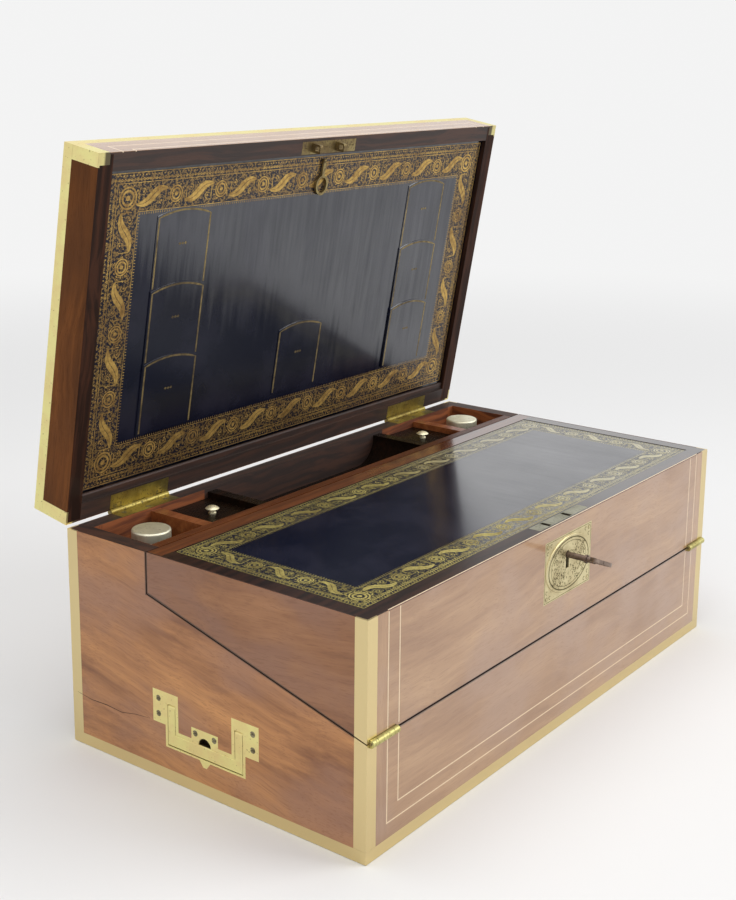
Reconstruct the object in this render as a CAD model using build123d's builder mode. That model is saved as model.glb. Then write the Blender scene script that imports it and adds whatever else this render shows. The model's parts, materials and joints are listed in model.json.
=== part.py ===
from build123d import *
from math import atan2, cos, degrees, radians, sin, tan
import os

os.makedirs("parts", exist_ok=True)

# A brass-bound writing slope, shown with its lid raised and its writing part shut.
# X runs along the box, Y from front to back, Z up; the origin is the middle of the underside.
# Everything that belongs to the lid is drawn shut and then turned open about the lid hinge.

# ---------------------------------------------------------------- the box
case_width = 508.0
case_depth = 284.0
body_height = 172.0
lid_height = 37.0
wall = 14.0  # board with its veneer
veneer = 1.5  # also the thickness of the brass let in beside it
part_gap = 1.0  # between the body, the slope and the lid
let_in = 0.1  # clearance of what is let in flush
loose = 0.4  # clearance of what lifts or swings
tray_section = 83.0  # full-height part behind the slope
cut_drop = 31.5  # upright cut before the slanting one
lid_open = 80.0  # degrees
bottom_thickness = 8.0
lid_board = 8.0  # top board of the lid, with its veneer

# ---------------------------------------------------------------- brass bindings and stringing
edge_brass = 9.0
corner_brass = 10.5
brass_joint = 0.1
return_width = 11.0  # brass let into the rim of the lid at its front corners
return_depth = 9.0
string_insets = (22.5, 35.0)  # from the ends of the box
string_rises = (20.5, 32.0)  # from its bottom and top
string_width = 1.0
string_depth = 0.8

# ---------------------------------------------------------------- hinges
lid_hinge_inset = 44.0  # of a hinge from the end of the box
lid_hinge_length = 62.0
lid_leaf_margin = 0.8  # of wood left inside each leaf
lid_leaf = 2.0
lid_barrel = 2.6
lid_hinge_proud = 1.3
fold_hinge_inset = 2.5
fold_hinge_length = 29.5
fold_leaf_reach = 13.0
fold_leaf = 1.6
fold_barrel = 2.75
fold_hinge_proud = 1.0
hinge_pin = 1.2
pin_play = 0.05
knuckle_gap = 0.3
barrel_room = 0.3
knuckles = 5
leaf_screw_spread = 22.3
leaf_screw_stagger = 2.0

# ---------------------------------------------------------------- writing leaves and leathers
leaf_board = 5.0
leaf_leather = 0.8
leather_below = 0.2
frame_board = 8.0
top_panel = 6.0
slope_leather_thickness = 1.0
leather_step = 0.4  # the leather lies this much below its frame

# ---------------------------------------------------------------- pen tray section
tray_wall = 8.0
tray_floor_board = 6.0
tray_well_depth = 64.0
inkwell_room = 59.0
divider = 10.0
divider_step = 2.5
pen_tray_length = 234.0
trough_depth = 25.0
trough_shoulder = 10.0
trough_lip = 1.0  # upright edge above each cove
cover_board = 4.0
cover_arris = 0.4
cover_step = 7.5
cover_ledge = 4.0
knob_radius = 5.6
knob_height = 6.5
knob_neck = 2.4
knob_peg = 1.8
knob_collar = 0.8
peg_bore_floor = 1.0
peg_room = 0.5  # under the end of the peg
knob_under = 3.4
bottle_side = 46.0
bottle_height = 46.0
bottle_corner = 6.0
bottle_shoulder = 4.0
bottle_neck = 11.0
bottle_mouth = 8.5
bottle_floor = 5.0
cap_radius = 15.0
cap_height = 8.0
cap_step = 2.0  # its top lies this much below the rim
cap_wall = 1.5
cap_round = 1.6

# ---------------------------------------------------------------- flush handles
handle_y = 3.0
handle_width = 103.0
handle_top = 69.0
handle_ear = 25.5
handle_channel = 78.0
handle_bottom = 26.5
handle_bar_top = 41.0
handle_plate = 6.5
tongue_width = 26.0
tongue_top = 50.0
tab_drop = 4.8
tab_root = 10.5
tab_tip = 3.5
bail_width = 72.6
bail_arm = 7.0
bail_bar = 9.6
bail_bottom = 28.4
bail_thickness = 4.2
bail_pivot_z = 58.0
bail_room = 0.35
bail_pin = 1.0
bail_pin_clear = 1.0  # from the tip of its arm
bail_pin_seat = 2.0  # of the pin in the plate
bail_arris = 0.5
finger_radius = 6.0
finger_depth = 5.8
ear_screw_inset = 5.6
ear_screw_drops = (6.5, 18.5)
tongue_screw_half = 9.2
tongue_screw_z = 46.0
screw_head = 2.3
screw_shank = 1.25
screw_length = 11.0
hinge_screw_length = 9.0
screw_slot = 0.6
screw_slot_depth = 0.7

# ---------------------------------------------------------------- lock, escutcheon and key
lock_width = 70.0
lock_depth = 10.0
lock_set_back = 0.2  # of its case behind its selvedge
lock_height = 66.0
lock_front_wall = 0.8
selvedge_width = 74.0
selvedge_thickness = 2.0
link_y = 8.0  # from the front of the box to the middle of the links
link_x = (-20.5, 10.5)
link_screw_x = (-30.0, -5.0, 30.0)
link_plate_length = 70.0
link_plate_width = 10.6
link_plate_thickness = 1.5
link_width = 7.4
link_thickness = 3.4
link_drop = 8.5
link_eye = 4.0
link_tip = 1.2
link_round = 2.0
link_eye_round = 0.8
link_room = 0.5
bolt_thickness = 3.2
bolt_bar = 3.0
bolt_beak = 3.0
bolt_throw = 7.0
bolt_floor = 16.0  # below the top of the box
escutcheon_x = 2.5
escutcheon_z = 136.3
escutcheon_width = 71.5
escutcheon_height = 50.0
oval_half_width = 34.0
oval_half_height = 22.5
oval_rise = 0.8
oval_bevel = 0.5
escutcheon_pin = 1.0
escutcheon_pin_inset = 4.0
escutcheon_pin_rise = 0.3
keyhole_z = 144.0
keyhole_radius = 3.2
keyhole_slot = 4.6
keyhole_drop = 11.0
key_shank = 2.4
key_in = 6.2
key_collar_out = 16.5
key_collar_rise = 0.9
key_collar_length = 1.8
key_bow_out = 22.0
key_out = 37.5
key_bow_half_width = 10.5
key_bow_wire = 1.5
key_bow_band = 3.3
key_bit_length = 1.9
key_bit_reach = 9.0
key_bit_thickness = 2.2
key_tilt = 25.0  # degrees of its bow from level
bit_room = 11.5

# ---------------------------------------------------------------- lid fittings
panel_recess = 4.0
panel_leather = 0.8
panel_board = 4.0
panel_front_room = 0.8
bead_width = 6.0
bead_rise = 1.8
bead_height = 9.0
bead_round = 1.5
pocket_width = 58.0
pocket_leather = 0.6
pocket_arch = 9.0
pocket_rows = 3
pocket_side_inset = 82.0  # of a column's middle from the lid's side wall
pocket_top_inset = 37.0
pocket_bottom_inset = 36.0
middle_pocket_inset = 39.0
pull_x = -1.0
pull_inset = 5.5
pull_stem = 13.5
pull_ring_half_length = 8.5
pull_ring_half_width = 7.7
pull_ring_band = 2.0
pull_wire = 0.9
pull_post = 1.2
pull_foot = 0.3
pull_drop = 1.7  # of its pivot from the leather
pull_eye = 1.3
pull_cheek = 1.0
pull_pin = 0.5
pull_play = 0.1

# ---------------------------------------------------------------- what follows from the sizes above
half_width = case_width / 2
half_depth = case_depth / 2
core_width = half_width - veneer
lid_hinge_x = half_width - lid_hinge_inset - lid_hinge_length / 2
fold_hinge_x = half_width - fold_hinge_inset - fold_hinge_length / 2
lid_leaf_reach = wall + lid_hinge_proud - lid_leaf_margin
core_depth = half_depth - veneer
inner_width = half_width - wall
inner_depth = half_depth - wall
lid_bottom = body_height + part_gap
closed_height = body_height + lid_height
cut_y = half_depth - tray_section
fold_height = body_height / 2
fold_axis_y = -half_depth - fold_hinge_proud
fold_angle = atan2(body_height - cut_drop - fold_height, cut_y - fold_axis_y)
slope_back = cut_y - part_gap
leather_back = slope_back - wall
slope_shell_top = body_height - frame_board
lid_axis = Axis((0, half_depth + lid_hinge_proud, body_height + part_gap / 2), (1, 0, 0))
tray_front = cut_y + tray_wall
tray_floor_z = body_height - tray_well_depth
divider_out = inner_width - inkwell_room
divider_in = divider_out - divider
pen_half = pen_tray_length / 2
cover_top = body_height - cover_step
cover_bottom = cover_top - cover_board
peg_length = cover_board - peg_bore_floor - peg_room
tray_middle_y = (tray_front + inner_depth) / 2
panel_face = lid_bottom + panel_recess
panel_back_edge = inner_depth - bead_width - loose
bead_low = panel_face - bead_rise


def save(piece, name):
    piece.part.label = name
    export_step(piece.part, f"parts/{name}.step")


def save_raised(piece, name):
    """Turns a piece of the lid, drawn shut, to the raised lid and writes it."""
    raised = piece.part.rotate(lid_axis, -lid_open)
    raised.label = name
    export_step(raised, f"parts/{name}.step")


def fold_line(y):
    """Height of the slanting cut at a depth y."""
    return fold_height + (y - fold_axis_y) * tan(fold_angle)


def fold_plane(height):
    """Plane of the slanting cut, raised along its own normal."""
    normal = (0, -sin(fold_angle), cos(fold_angle))
    return Plane(origin=(0, fold_axis_y, fold_height), x_dir=(1, 0, 0), z_dir=normal).offset(height)


def rect(x_low, x_high, y_low, y_high, mode=Mode.ADD):
    """Rectangle between two corners, in the open sketch."""
    with Locations(((x_low + x_high) / 2, (y_low + y_high) / 2)):
        Rectangle(x_high - x_low, y_high - y_low, mode=mode)


# ================================================================ carcass of the body
def base_side(y_front, y_back, z_low):
    """Outline of the body's side: full height behind the slope, slanting in front."""
    base_top = -part_gap / 2
    return [
        (y_front, z_low),
        (y_back, z_low),
        (y_back, body_height),
        (cut_y, body_height),
        (cut_y, fold_line(cut_y) + base_top),
        (y_front, fold_line(y_front) + base_top),
    ]


def slope_side(y_front, z_high):
    """Outline of the slope's side: a wedge above the slanting cut."""
    slope_low = part_gap / 2
    return [
        (y_front, fold_line(y_front) + slope_low),
        (slope_back, fold_line(slope_back) + slope_low),
        (slope_back, z_high),
        (y_front, z_high),
    ]


def handle_outline():
    """Cast plate of a flush handle: two ears, a channel between them, a tongue and a tab."""
    ear_inner = handle_width / 2 - handle_ear
    y = handle_y
    rect(y - handle_channel / 2, y + handle_channel / 2, handle_bottom, handle_top)
    rect(y - handle_width / 2, y + handle_width / 2, handle_top - handle_ear, handle_top)
    rect(y - ear_inner, y + ear_inner, handle_bar_top, handle_top, mode=Mode.SUBTRACT)
    rect(y - tongue_width / 2, y + tongue_width / 2, handle_bar_top, tongue_top)
    Polygon(
        (y - tab_root / 2, handle_bottom),
        (y - tab_tip / 2, handle_bottom - tab_drop),
        (y + tab_tip / 2, handle_bottom - tab_drop),
        (y + tab_root / 2, handle_bottom),
        align=None,
    )


def handle_screw_places():
    """Planes on the left face, one at each screw of a handle, looking out of the wood."""
    places = [(handle_y + side * tongue_screw_half, tongue_screw_z) for side in (-1, 1)]
    for side in (-1, 1):
        for drop in ear_screw_drops:
            places.append((handle_y + side * (handle_width / 2 - ear_screw_inset), handle_top - drop))
    return [Plane(origin=(-half_width, y, z), x_dir=(0, -1, 0), z_dir=(-1, 0, 0)) for y, z in places]


def lid_hinge_planes(leaf_side):
    """Pin of each lid hinge: leaf_side 1 looks up for the body's leaf, -1 down for the lid's."""
    return [
        Plane(
            origin=(side * lid_hinge_x, lid_axis.position.Y, lid_axis.position.Z),
            x_dir=(leaf_side, 0, 0),
            z_dir=(0, 0, leaf_side),
        )
        for side in (-1, 1)
    ]


def fold_hinge_planes(leaf_side):
    """Pin of each fold hinge: leaf_side -1 for the body's leaf, 1 for the slope's."""
    normal = (0, leaf_side * sin(fold_angle), -leaf_side * cos(fold_angle))
    return [
        Plane(origin=(side * fold_hinge_x, fold_axis_y, fold_height), x_dir=(leaf_side, 0, 0), z_dir=normal)
        for side in (-1, 1)
    ]


def hinge_mortises(planes, length, reach, thickness, barrel):
    """Cuts the seat of each leaf and the hollow its barrel turns in out of the open part."""
    depth = part_gap / 2 + thickness
    with Locations(*planes):
        with Locations((0, -(reach + let_in) / 2, -depth / 2)):
            Box(length + 2 * let_in, reach + let_in, depth, mode=Mode.SUBTRACT)
        Cylinder(barrel + barrel_room, length + 2 * let_in, rotation=(0, 90, 0), mode=Mode.SUBTRACT)


def leaf_screw_places(planes, reach, barrel):
    """Planes at the three screws of each lid hinge leaf."""
    return [
        Plane(
            origin=plane.from_local_coords((x, stagger - (reach + barrel) / 2, -part_gap / 2)),
            z_dir=plane.z_dir,
        )
        for plane in planes
        for x, stagger in (
            (-leaf_screw_spread, leaf_screw_stagger),
            (0, -leaf_screw_stagger),
            (leaf_screw_spread, leaf_screw_stagger),
        )
    ]


body_leaf_screws = leaf_screw_places(lid_hinge_planes(1), lid_leaf_reach, lid_barrel)
lid_leaf_screws = leaf_screw_places(lid_hinge_planes(-1), lid_leaf_reach, lid_barrel)
link_screws = [Plane(origin=(x, link_y - half_depth, lid_bottom), z_dir=(0, 0, -1)) for x in link_screw_x]

with BuildPart() as bottom_board:
    with BuildSketch():
        Rectangle(2 * inner_width, 2 * inner_depth)
    extrude(amount=bottom_thickness)
save(bottom_board, "bottom_board")

with BuildPart() as left_side_board:
    with BuildSketch(Plane.YZ.offset(-core_width)):
        Polygon(*base_side(-core_depth, core_depth, veneer), align=None)
    extrude(amount=wall - veneer)
    with BuildSketch(Plane.YZ.offset(-half_width)):
        Polygon(*base_side(corner_brass - half_depth, half_depth - corner_brass, edge_brass), align=None)
    extrude(amount=veneer)
    with BuildSketch(Plane.YZ.offset(-half_width)):
        handle_outline()
    extrude(amount=handle_plate, mode=Mode.SUBTRACT)
    with Locations(*handle_screw_places()):
        Hole(screw_shank + pin_play, depth=screw_length + loose)
    hinge_mortises(fold_hinge_planes(-1), fold_hinge_length, fold_leaf_reach, fold_leaf, fold_barrel)
save(left_side_board, "left_side_board")

with BuildPart() as right_side_board:
    mirror(left_side_board.part, about=Plane.YZ)
save(right_side_board, "right_side_board")


def stringing(strip_feet, z_cross, z_ends):
    """Two nested lines of stringing on the front, in the open sketch."""
    for inset, cross in zip(strip_feet, z_cross):
        x = half_width - inset
        low, high = min(cross, z_ends), max(cross, z_ends)
        for side in (-1, 1):
            rect(side * x - string_width / 2, side * x + string_width / 2, low, high)
        if cross != z_ends:
            edge = cross - string_width / 2
            rect(-x - string_width / 2, x + string_width / 2, edge, edge + string_width)


barrel_hollow = fold_barrel + barrel_room
base_string_top = fold_height - barrel_hollow
slope_string_low = fold_height + barrel_hollow
lid_string_crosses = [closed_height - rise for rise in string_rises]

with BuildPart() as front_board:
    with BuildSketch(Plane.YZ.offset(-inner_width)):
        Polygon(
            (-core_depth, veneer),
            (-inner_depth, veneer),
            (-inner_depth, fold_line(-inner_depth) - part_gap / 2),
            (-core_depth, fold_line(-core_depth) - part_gap / 2),
            align=None,
        )
    extrude(amount=2 * inner_width)
    with BuildSketch(Plane.XZ.offset(half_depth)):
        rect(corner_brass - half_width, half_width - corner_brass, edge_brass, fold_line(-half_depth) - part_gap / 2)
    extrude(amount=-veneer)
    with BuildSketch(Plane.XZ.offset(half_depth)):
        stringing(string_insets, string_rises, base_string_top)
    extrude(amount=-string_depth, mode=Mode.SUBTRACT)
    hinge_mortises(fold_hinge_planes(-1), fold_hinge_length, fold_leaf_reach, fold_leaf, fold_barrel)
save(front_board, "front_board")

with BuildPart() as base_stringing:
    with BuildSketch(Plane.XZ.offset(half_depth)):
        stringing(string_insets, string_rises, base_string_top)
    extrude(amount=-string_depth)
save(base_stringing, "base_stringing")

with BuildPart() as back_board:
    with BuildSketch(Plane.XZ.offset(-core_depth)):
        rect(-inner_width, inner_width, veneer, body_height)
    extrude(amount=wall - veneer)
    with BuildSketch(Plane.XZ.offset(-half_depth)):
        rect(corner_brass - half_width, half_width - corner_brass, edge_brass, body_height)
    extrude(amount=veneer)
    hinge_mortises(lid_hinge_planes(1), lid_hinge_length, lid_leaf_reach, lid_leaf, lid_barrel)
    with Locations(*body_leaf_screws):
        Hole(screw_shank + pin_play, depth=hinge_screw_length + loose)
save(back_board, "back_board")


def corner_outline(side_x, side_y):
    """Angle of brass round one upright corner."""
    far, near = corner_brass, veneer
    steps = [(0, 0), (far, 0), (far, near), (near, near), (near, far), (0, far)]
    Polygon(*[(side_x * (half_width - a), side_y * (half_depth - b)) for a, b in steps], align=None)


def edge_ring(flange):
    """Plan of the brass flange that wraps under or over the edges of the box."""
    Rectangle(case_width, case_depth)
    Rectangle(case_width - 2 * flange, case_depth - 2 * flange, mode=Mode.SUBTRACT)


with BuildPart() as base_bindings:
    with BuildSketch(Plane.XY.offset(edge_brass + brass_joint)):
        corner_outline(-1, -1)
        corner_outline(1, -1)
    extrude(amount=fold_height)
    split(bisect_by=fold_plane(-part_gap / 2), keep=Keep.BOTTOM)
    hinge_mortises(fold_hinge_planes(-1), fold_hinge_length, fold_leaf_reach, fold_leaf, fold_barrel)
    with BuildSketch(Plane.XY.offset(edge_brass + brass_joint)):
        corner_outline(-1, 1)
        corner_outline(1, 1)
    extrude(amount=body_height - edge_brass - brass_joint)
    with BuildSketch():
        edge_ring(veneer)
    extrude(amount=edge_brass)
    with BuildSketch():
        edge_ring(wall)
    extrude(amount=veneer)
save(base_bindings, "base_bindings")

# ================================================================ pen tray section
with BuildPart() as tray_floor:
    with BuildSketch(Plane.XY.offset(tray_floor_z - tray_floor_board)):
        rect(-inner_width, inner_width, cut_y, inner_depth)
    extrude(amount=tray_floor_board)
save(tray_floor, "tray_floor")

with BuildPart() as tray_front_wall:
    with BuildSketch(Plane.XY.offset(tray_floor_z)):
        rect(-inner_width, inner_width, cut_y, tray_front)
    extrude(amount=tray_well_depth)
save(tray_front_wall, "tray_front_wall")

with BuildPart() as tray_dividers:
    with BuildSketch(Plane.XZ.offset(-inner_depth)):
        for side in (-1, 1):
            Polygon(
                (side * divider_out, tray_floor_z),
                (side * divider_out, body_height - divider_step),
                (side * divider_in, body_height - divider_step),
                (side * divider_in, cover_bottom),
                (side * (divider_in - cover_ledge), cover_bottom),
                (side * (divider_in - cover_ledge), cover_bottom - 2 * cover_ledge),
                (side * divider_in, cover_bottom - 3 * cover_ledge),
                (side * divider_in, tray_floor_z),
                align=None,
            )
    extrude(amount=inner_depth - tray_front)
save(tray_dividers, "tray_dividers")

# The pen tray is one block with a trough scooped out of it, its ends coved for the fingers.
tray_top = body_height - divider_step
cove = trough_depth - trough_lip
cove_x = pen_half - trough_shoulder
with BuildPart() as pen_tray:
    with BuildSketch(Plane.XZ.offset(-inner_depth)):
        rect(-pen_half, pen_half, tray_floor_z, tray_top)
        for side in (-1, 1):
            ledge_x = side * (pen_half + cover_ledge / 2)
            with Locations((ledge_x, cover_bottom - cover_ledge)):
                Rectangle(cover_ledge, 2 * cover_ledge)
        with BuildLine():
            left = Line((-cove_x, tray_top), (-cove_x, tray_top - trough_lip))
            cove_left = CenterArc((-cove_x + cove, tray_top - trough_lip), cove, 180, 90)
            floor = Line(cove_left @ 1, (cove_x - cove, tray_top - trough_depth))
            cove_right = CenterArc((cove_x - cove, tray_top - trough_lip), cove, 270, 90)
            right = Line((cove_x, tray_top - trough_lip), (cove_x, tray_top))
            Line((cove_x, tray_top), (-cove_x, tray_top))
        make_face(mode=Mode.SUBTRACT)
    extrude(amount=inner_depth - tray_front)
save(pen_tray, "pen_tray")


def cover(side):
    """Lift-off cover of a small compartment, bored for its knob."""
    low, high = sorted((side * (pen_half + loose), side * (divider_in - loose)))
    with BuildPart() as board:
        with BuildSketch(Plane.XY.offset(cover_bottom)):
            rect(low, high, tray_front + loose, inner_depth - loose)
        extrude(amount=cover_board)
        top_edges = board.faces().sort_by(Axis.Z)[-1].edges()
        chamfer(top_edges, length=cover_arris)
        with Locations(((low + high) / 2, tray_middle_y, cover_top)):
            Hole(knob_peg + pin_play, depth=cover_board - peg_bore_floor)
    return board


def cover_knob(side):
    """Turned mushroom knob: collar, neck, domed head and the peg that fixes it."""
    x = side * (pen_half + divider_in) / 2
    with BuildPart() as knob:
        with BuildSketch(Plane(origin=(x, tray_middle_y, cover_top), x_dir=(1, 0, 0), z_dir=(0, -1, 0))):
            with BuildLine():
                Polyline(
                    (0, -peg_length),
                    (knob_peg, -peg_length),
                    (knob_peg, 0),
                    (knob_neck + knob_collar, 0),
                    (knob_neck + knob_collar, knob_collar),
                    (knob_neck, 2 * knob_collar),
                    (knob_neck, knob_under),
                    (knob_radius, knob_under + knob_collar),
                )
                TangentArc((0, knob_height), (knob_radius, knob_under + knob_collar), tangent=(1, 0))
                Line((0, knob_height), (0, -peg_length))
            make_face()
        revolve(axis=Axis((x, tray_middle_y, 0), (0, 0, 1)))
    return knob


for side_name, side in (("left", -1), ("right", 1)):
    save(cover(side), f"compartment_cover_{side_name}")
    save(cover_knob(side), f"cover_knob_{side_name}")

bottle_x = (inner_width + divider_out) / 2
cap_low = body_height - cap_step - cap_height
shoulder_z = tray_floor_z + bottle_height


def inkwell(side):
    """Square glass inkwell with a round bore, and a neck for its brass cap."""
    with BuildPart() as bottle:
        with BuildSketch(Plane.XY.offset(tray_floor_z)):
            with Locations((side * bottle_x, tray_middle_y)):
                RectangleRounded(bottle_side, bottle_side, bottle_corner)
        extrude(amount=bottle_height)
        chamfer(bottle.faces().sort_by(Axis.Z)[-1].edges(), length=bottle_shoulder)
        with BuildSketch(Plane.XY.offset(shoulder_z - bottle_shoulder)):
            with Locations((side * bottle_x, tray_middle_y)):
                Circle(bottle_neck)
        extrude(amount=body_height - cap_step - cap_wall - loose - shoulder_z + bottle_shoulder)
        with Locations((side * bottle_x, tray_middle_y, body_height)):
            Hole(bottle_mouth, depth=tray_well_depth - bottle_floor)
    return bottle


def inkwell_cap(side):
    """Brass cap over the neck, its top edge rounded."""
    with BuildPart() as cap:
        with BuildSketch(Plane.XY.offset(cap_low)):
            with Locations((side * bottle_x, tray_middle_y)):
                Circle(cap_radius)
        extrude(amount=cap_height)
        fillet(cap.edges().sort_by(Axis.Z)[-1], radius=cap_round)
        with BuildSketch(Plane.XY.offset(cap_low)):
            with Locations((side * bottle_x, tray_middle_y)):
                Circle(bottle_neck + loose)
        extrude(amount=cap_height - cap_wall, mode=Mode.SUBTRACT)
    return cap


for side_name, side in (("left", -1), ("right", 1)):
    save(inkwell(side), f"inkwell_{side_name}")
    save(inkwell_cap(side), f"inkwell_cap_{side_name}")

# ================================================================ writing leaves, under the slope
fold_cos = cos(fold_angle)
leaf_front = wall + fold_hinge_proud + loose
leaf_drop = (part_gap / 2 + leather_below + leaf_leather + leaf_board) * sin(fold_angle)
base_leaf_start = leaf_front / fold_cos
base_leaf_end = (cut_y - fold_axis_y - loose - leaf_drop) / fold_cos
slope_leaf_start = (leaf_front + leaf_drop) / fold_cos
slope_leaf_end = (leather_back - fold_axis_y - loose) / fold_cos
leaf_half = inner_width - loose
leather_at = part_gap / 2 + leather_below


def leaf(height, thickness, start, end):
    """Flat leaf in the slanting cut, between two distances up the slant."""
    with BuildPart() as board:
        with BuildSketch(fold_plane(height)):
            rect(-leaf_half, leaf_half, start, end)
        extrude(amount=thickness)
    return board


save(leaf(-leather_at - leaf_leather - leaf_board, leaf_board, base_leaf_start, base_leaf_end), "base_leaf")
save(leaf(-leather_at - leaf_leather, leaf_leather, base_leaf_start, base_leaf_end), "base_leaf_leather")
save(leaf(leather_at + leaf_leather, leaf_board, slope_leaf_start, slope_leaf_end), "slope_leaf")
save(leaf(leather_at, leaf_leather, slope_leaf_start, slope_leaf_end), "slope_leaf_leather")

# ================================================================ carcass of the slope
lock_front_y = -half_depth + link_y - lock_depth / 2 + lock_set_back
lock_back_y = lock_front_y + lock_depth
lock_top = body_height - selvedge_thickness
lock_low = body_height - lock_height
link_middle_y = link_y - half_depth
selvedge_front_y = link_middle_y - lock_depth / 2
selvedge_back_y = link_middle_y + lock_depth / 2


def keyhole():
    """Round hole for the shank with a slot below it for the bit, in the open sketch."""
    with Locations((0, keyhole_z)):
        Circle(keyhole_radius)
    rect(-keyhole_slot / 2, keyhole_slot / 2, keyhole_z - keyhole_drop, keyhole_z)


def escutcheon_outline(grow):
    with Locations((escutcheon_x, escutcheon_z)):
        Rectangle(escutcheon_width + 2 * grow, escutcheon_height + 2 * grow)


def lock_room():
    """Mortise for the lock, cut from the open part."""
    with BuildSketch(Plane.XY.offset(lock_low - let_in)) as body_room:
        rect(-lock_width / 2 - let_in, lock_width / 2 + let_in, lock_front_y - let_in, lock_back_y + let_in)
    extrude(body_room.sketch, amount=lock_height, mode=Mode.SUBTRACT)
    with BuildSketch(Plane.XY.offset(lock_top - let_in)) as selvedge_room:
        rect(
            -selvedge_width / 2 - let_in,
            selvedge_width / 2 + let_in,
            selvedge_front_y - let_in,
            selvedge_back_y + let_in,
        )
    extrude(selvedge_room.sketch, amount=selvedge_thickness + let_in, mode=Mode.SUBTRACT)


with BuildPart() as slope_left_side:
    with BuildSketch(Plane.YZ.offset(-core_width)):
        Polygon(*slope_side(-core_depth, slope_shell_top), align=None)
    extrude(amount=wall - veneer)
    with BuildSketch(Plane.YZ.offset(-half_width)):
        Polygon(*slope_side(corner_brass - half_depth, body_height), align=None)
    extrude(amount=veneer)
    hinge_mortises(fold_hinge_planes(1), fold_hinge_length, fold_leaf_reach, fold_leaf, fold_barrel)
save(slope_left_side, "slope_left_side")

with BuildPart() as slope_right_side:
    mirror(slope_left_side.part, about=Plane.YZ)
save(slope_right_side, "slope_right_side")

with BuildPart() as slope_front_board:
    with BuildSketch(Plane.YZ.offset(-inner_width)):
        Polygon(
            (-core_depth, fold_line(-core_depth) + part_gap / 2),
            (-inner_depth, fold_line(-inner_depth) + part_gap / 2),
            (-inner_depth, slope_shell_top),
            (-core_depth, slope_shell_top),
            align=None,
        )
    extrude(amount=2 * inner_width)
    with BuildSketch(Plane.XZ.offset(half_depth)):
        rect(
            corner_brass - half_width,
            half_width - corner_brass,
            fold_line(-core_depth) + part_gap / 2,
            body_height,
        )
    extrude(amount=-veneer)
    with BuildSketch(Plane.XZ.offset(half_depth)):
        stringing(string_insets, (body_height, body_height), slope_string_low)
    extrude(amount=-string_depth, mode=Mode.SUBTRACT)
    with BuildSketch(Plane.XZ.offset(half_depth)):
        escutcheon_outline(let_in / 2)
    extrude(amount=-veneer, mode=Mode.SUBTRACT)
    with BuildSketch(Plane.XZ.offset(core_depth)):
        keyhole()
    extrude(amount=-wall, mode=Mode.SUBTRACT)
    lock_room()
    hinge_mortises(fold_hinge_planes(1), fold_hinge_length, fold_leaf_reach, fold_leaf, fold_barrel)
save(slope_front_board, "slope_front_board")

with BuildPart() as slope_stringing:
    with BuildSketch(Plane.XZ.offset(half_depth)):
        stringing(string_insets, (body_height, body_height), slope_string_low)
    extrude(amount=-string_depth)
save(slope_stringing, "slope_stringing")

with BuildPart() as slope_back_board:
    with BuildSketch(Plane.YZ.offset(-inner_width)):
        Polygon(
            (leather_back, fold_line(leather_back) + part_gap / 2),
            (slope_back, fold_line(slope_back) + part_gap / 2),
            (slope_back, slope_shell_top),
            (leather_back, slope_shell_top),
            align=None,
        )
    extrude(amount=2 * inner_width)
save(slope_back_board, "slope_back_board")

with BuildPart() as slope_top_frame:
    with BuildSketch(Plane.XY.offset(slope_shell_top)):
        rect(-core_width, core_width, -core_depth, slope_back)
        rect(-inner_width, inner_width, -inner_depth, leather_back, mode=Mode.SUBTRACT)
    extrude(amount=frame_board)
    lock_room()
save(slope_top_frame, "slope_top_frame")

panel_top = body_height - leather_step - slope_leather_thickness
with BuildPart() as slope_top_panel:
    with BuildSketch(Plane.XY.offset(panel_top - top_panel)):
        rect(let_in - inner_width, inner_width - let_in, let_in - inner_depth, leather_back - let_in)
    extrude(amount=top_panel)
save(slope_top_panel, "slope_top_panel")

with BuildPart() as slope_leather:
    with BuildSketch(Plane.XY.offset(panel_top)):
        rect(let_in - inner_width, inner_width - let_in, let_in - inner_depth, leather_back - let_in)
    extrude(amount=slope_leather_thickness)
save(slope_leather, "slope_leather")

with BuildPart() as slope_bindings:
    with BuildSketch(Plane.XY.offset(fold_height - fold_hinge_proud)):
        corner_outline(-1, -1)
        corner_outline(1, -1)
    extrude(amount=body_height - fold_height + fold_hinge_proud)
    split(bisect_by=fold_plane(part_gap / 2), keep=Keep.TOP)
    hinge_mortises(fold_hinge_planes(1), fold_hinge_length, fold_leaf_reach, fold_leaf, fold_barrel)
save(slope_bindings, "slope_bindings")

# ================================================================ lock, escutcheon and key
with BuildPart() as escutcheon:
    with BuildSketch(Plane.XZ.offset(half_depth)):
        escutcheon_outline(0)
    extrude(amount=-veneer)
    with BuildSketch(Plane.XZ.offset(half_depth)):
        with Locations((escutcheon_x, escutcheon_z)):
            Ellipse(oval_half_width, oval_half_height)
    extrude(amount=oval_rise)
    chamfer(escutcheon.faces().sort_by(Axis.Y)[0].edges(), length=oval_bevel)
    with BuildSketch(Plane.XZ.offset(half_depth + oval_rise)):
        keyhole()
    extrude(amount=-veneer - oval_rise, mode=Mode.SUBTRACT)
    pin_x = escutcheon_width / 2 - escutcheon_pin_inset
    pin_z = escutcheon_height / 2 - escutcheon_pin_inset
    with BuildSketch(Plane.XZ.offset(half_depth)):
        with Locations((escutcheon_x, escutcheon_z)):
            with GridLocations(2 * pin_x, 2 * pin_z, 2, 2):
                Circle(escutcheon_pin + pin_play)
    extrude(amount=-veneer, mode=Mode.SUBTRACT)
    with BuildSketch(Plane.XZ.offset(half_depth + escutcheon_pin_rise)):
        with Locations((escutcheon_x, escutcheon_z)):
            with GridLocations(2 * pin_x, 2 * pin_z, 2, 2):
                Circle(escutcheon_pin)
    extrude(amount=-veneer - escutcheon_pin_rise)
save(escutcheon, "escutcheon")

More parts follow.
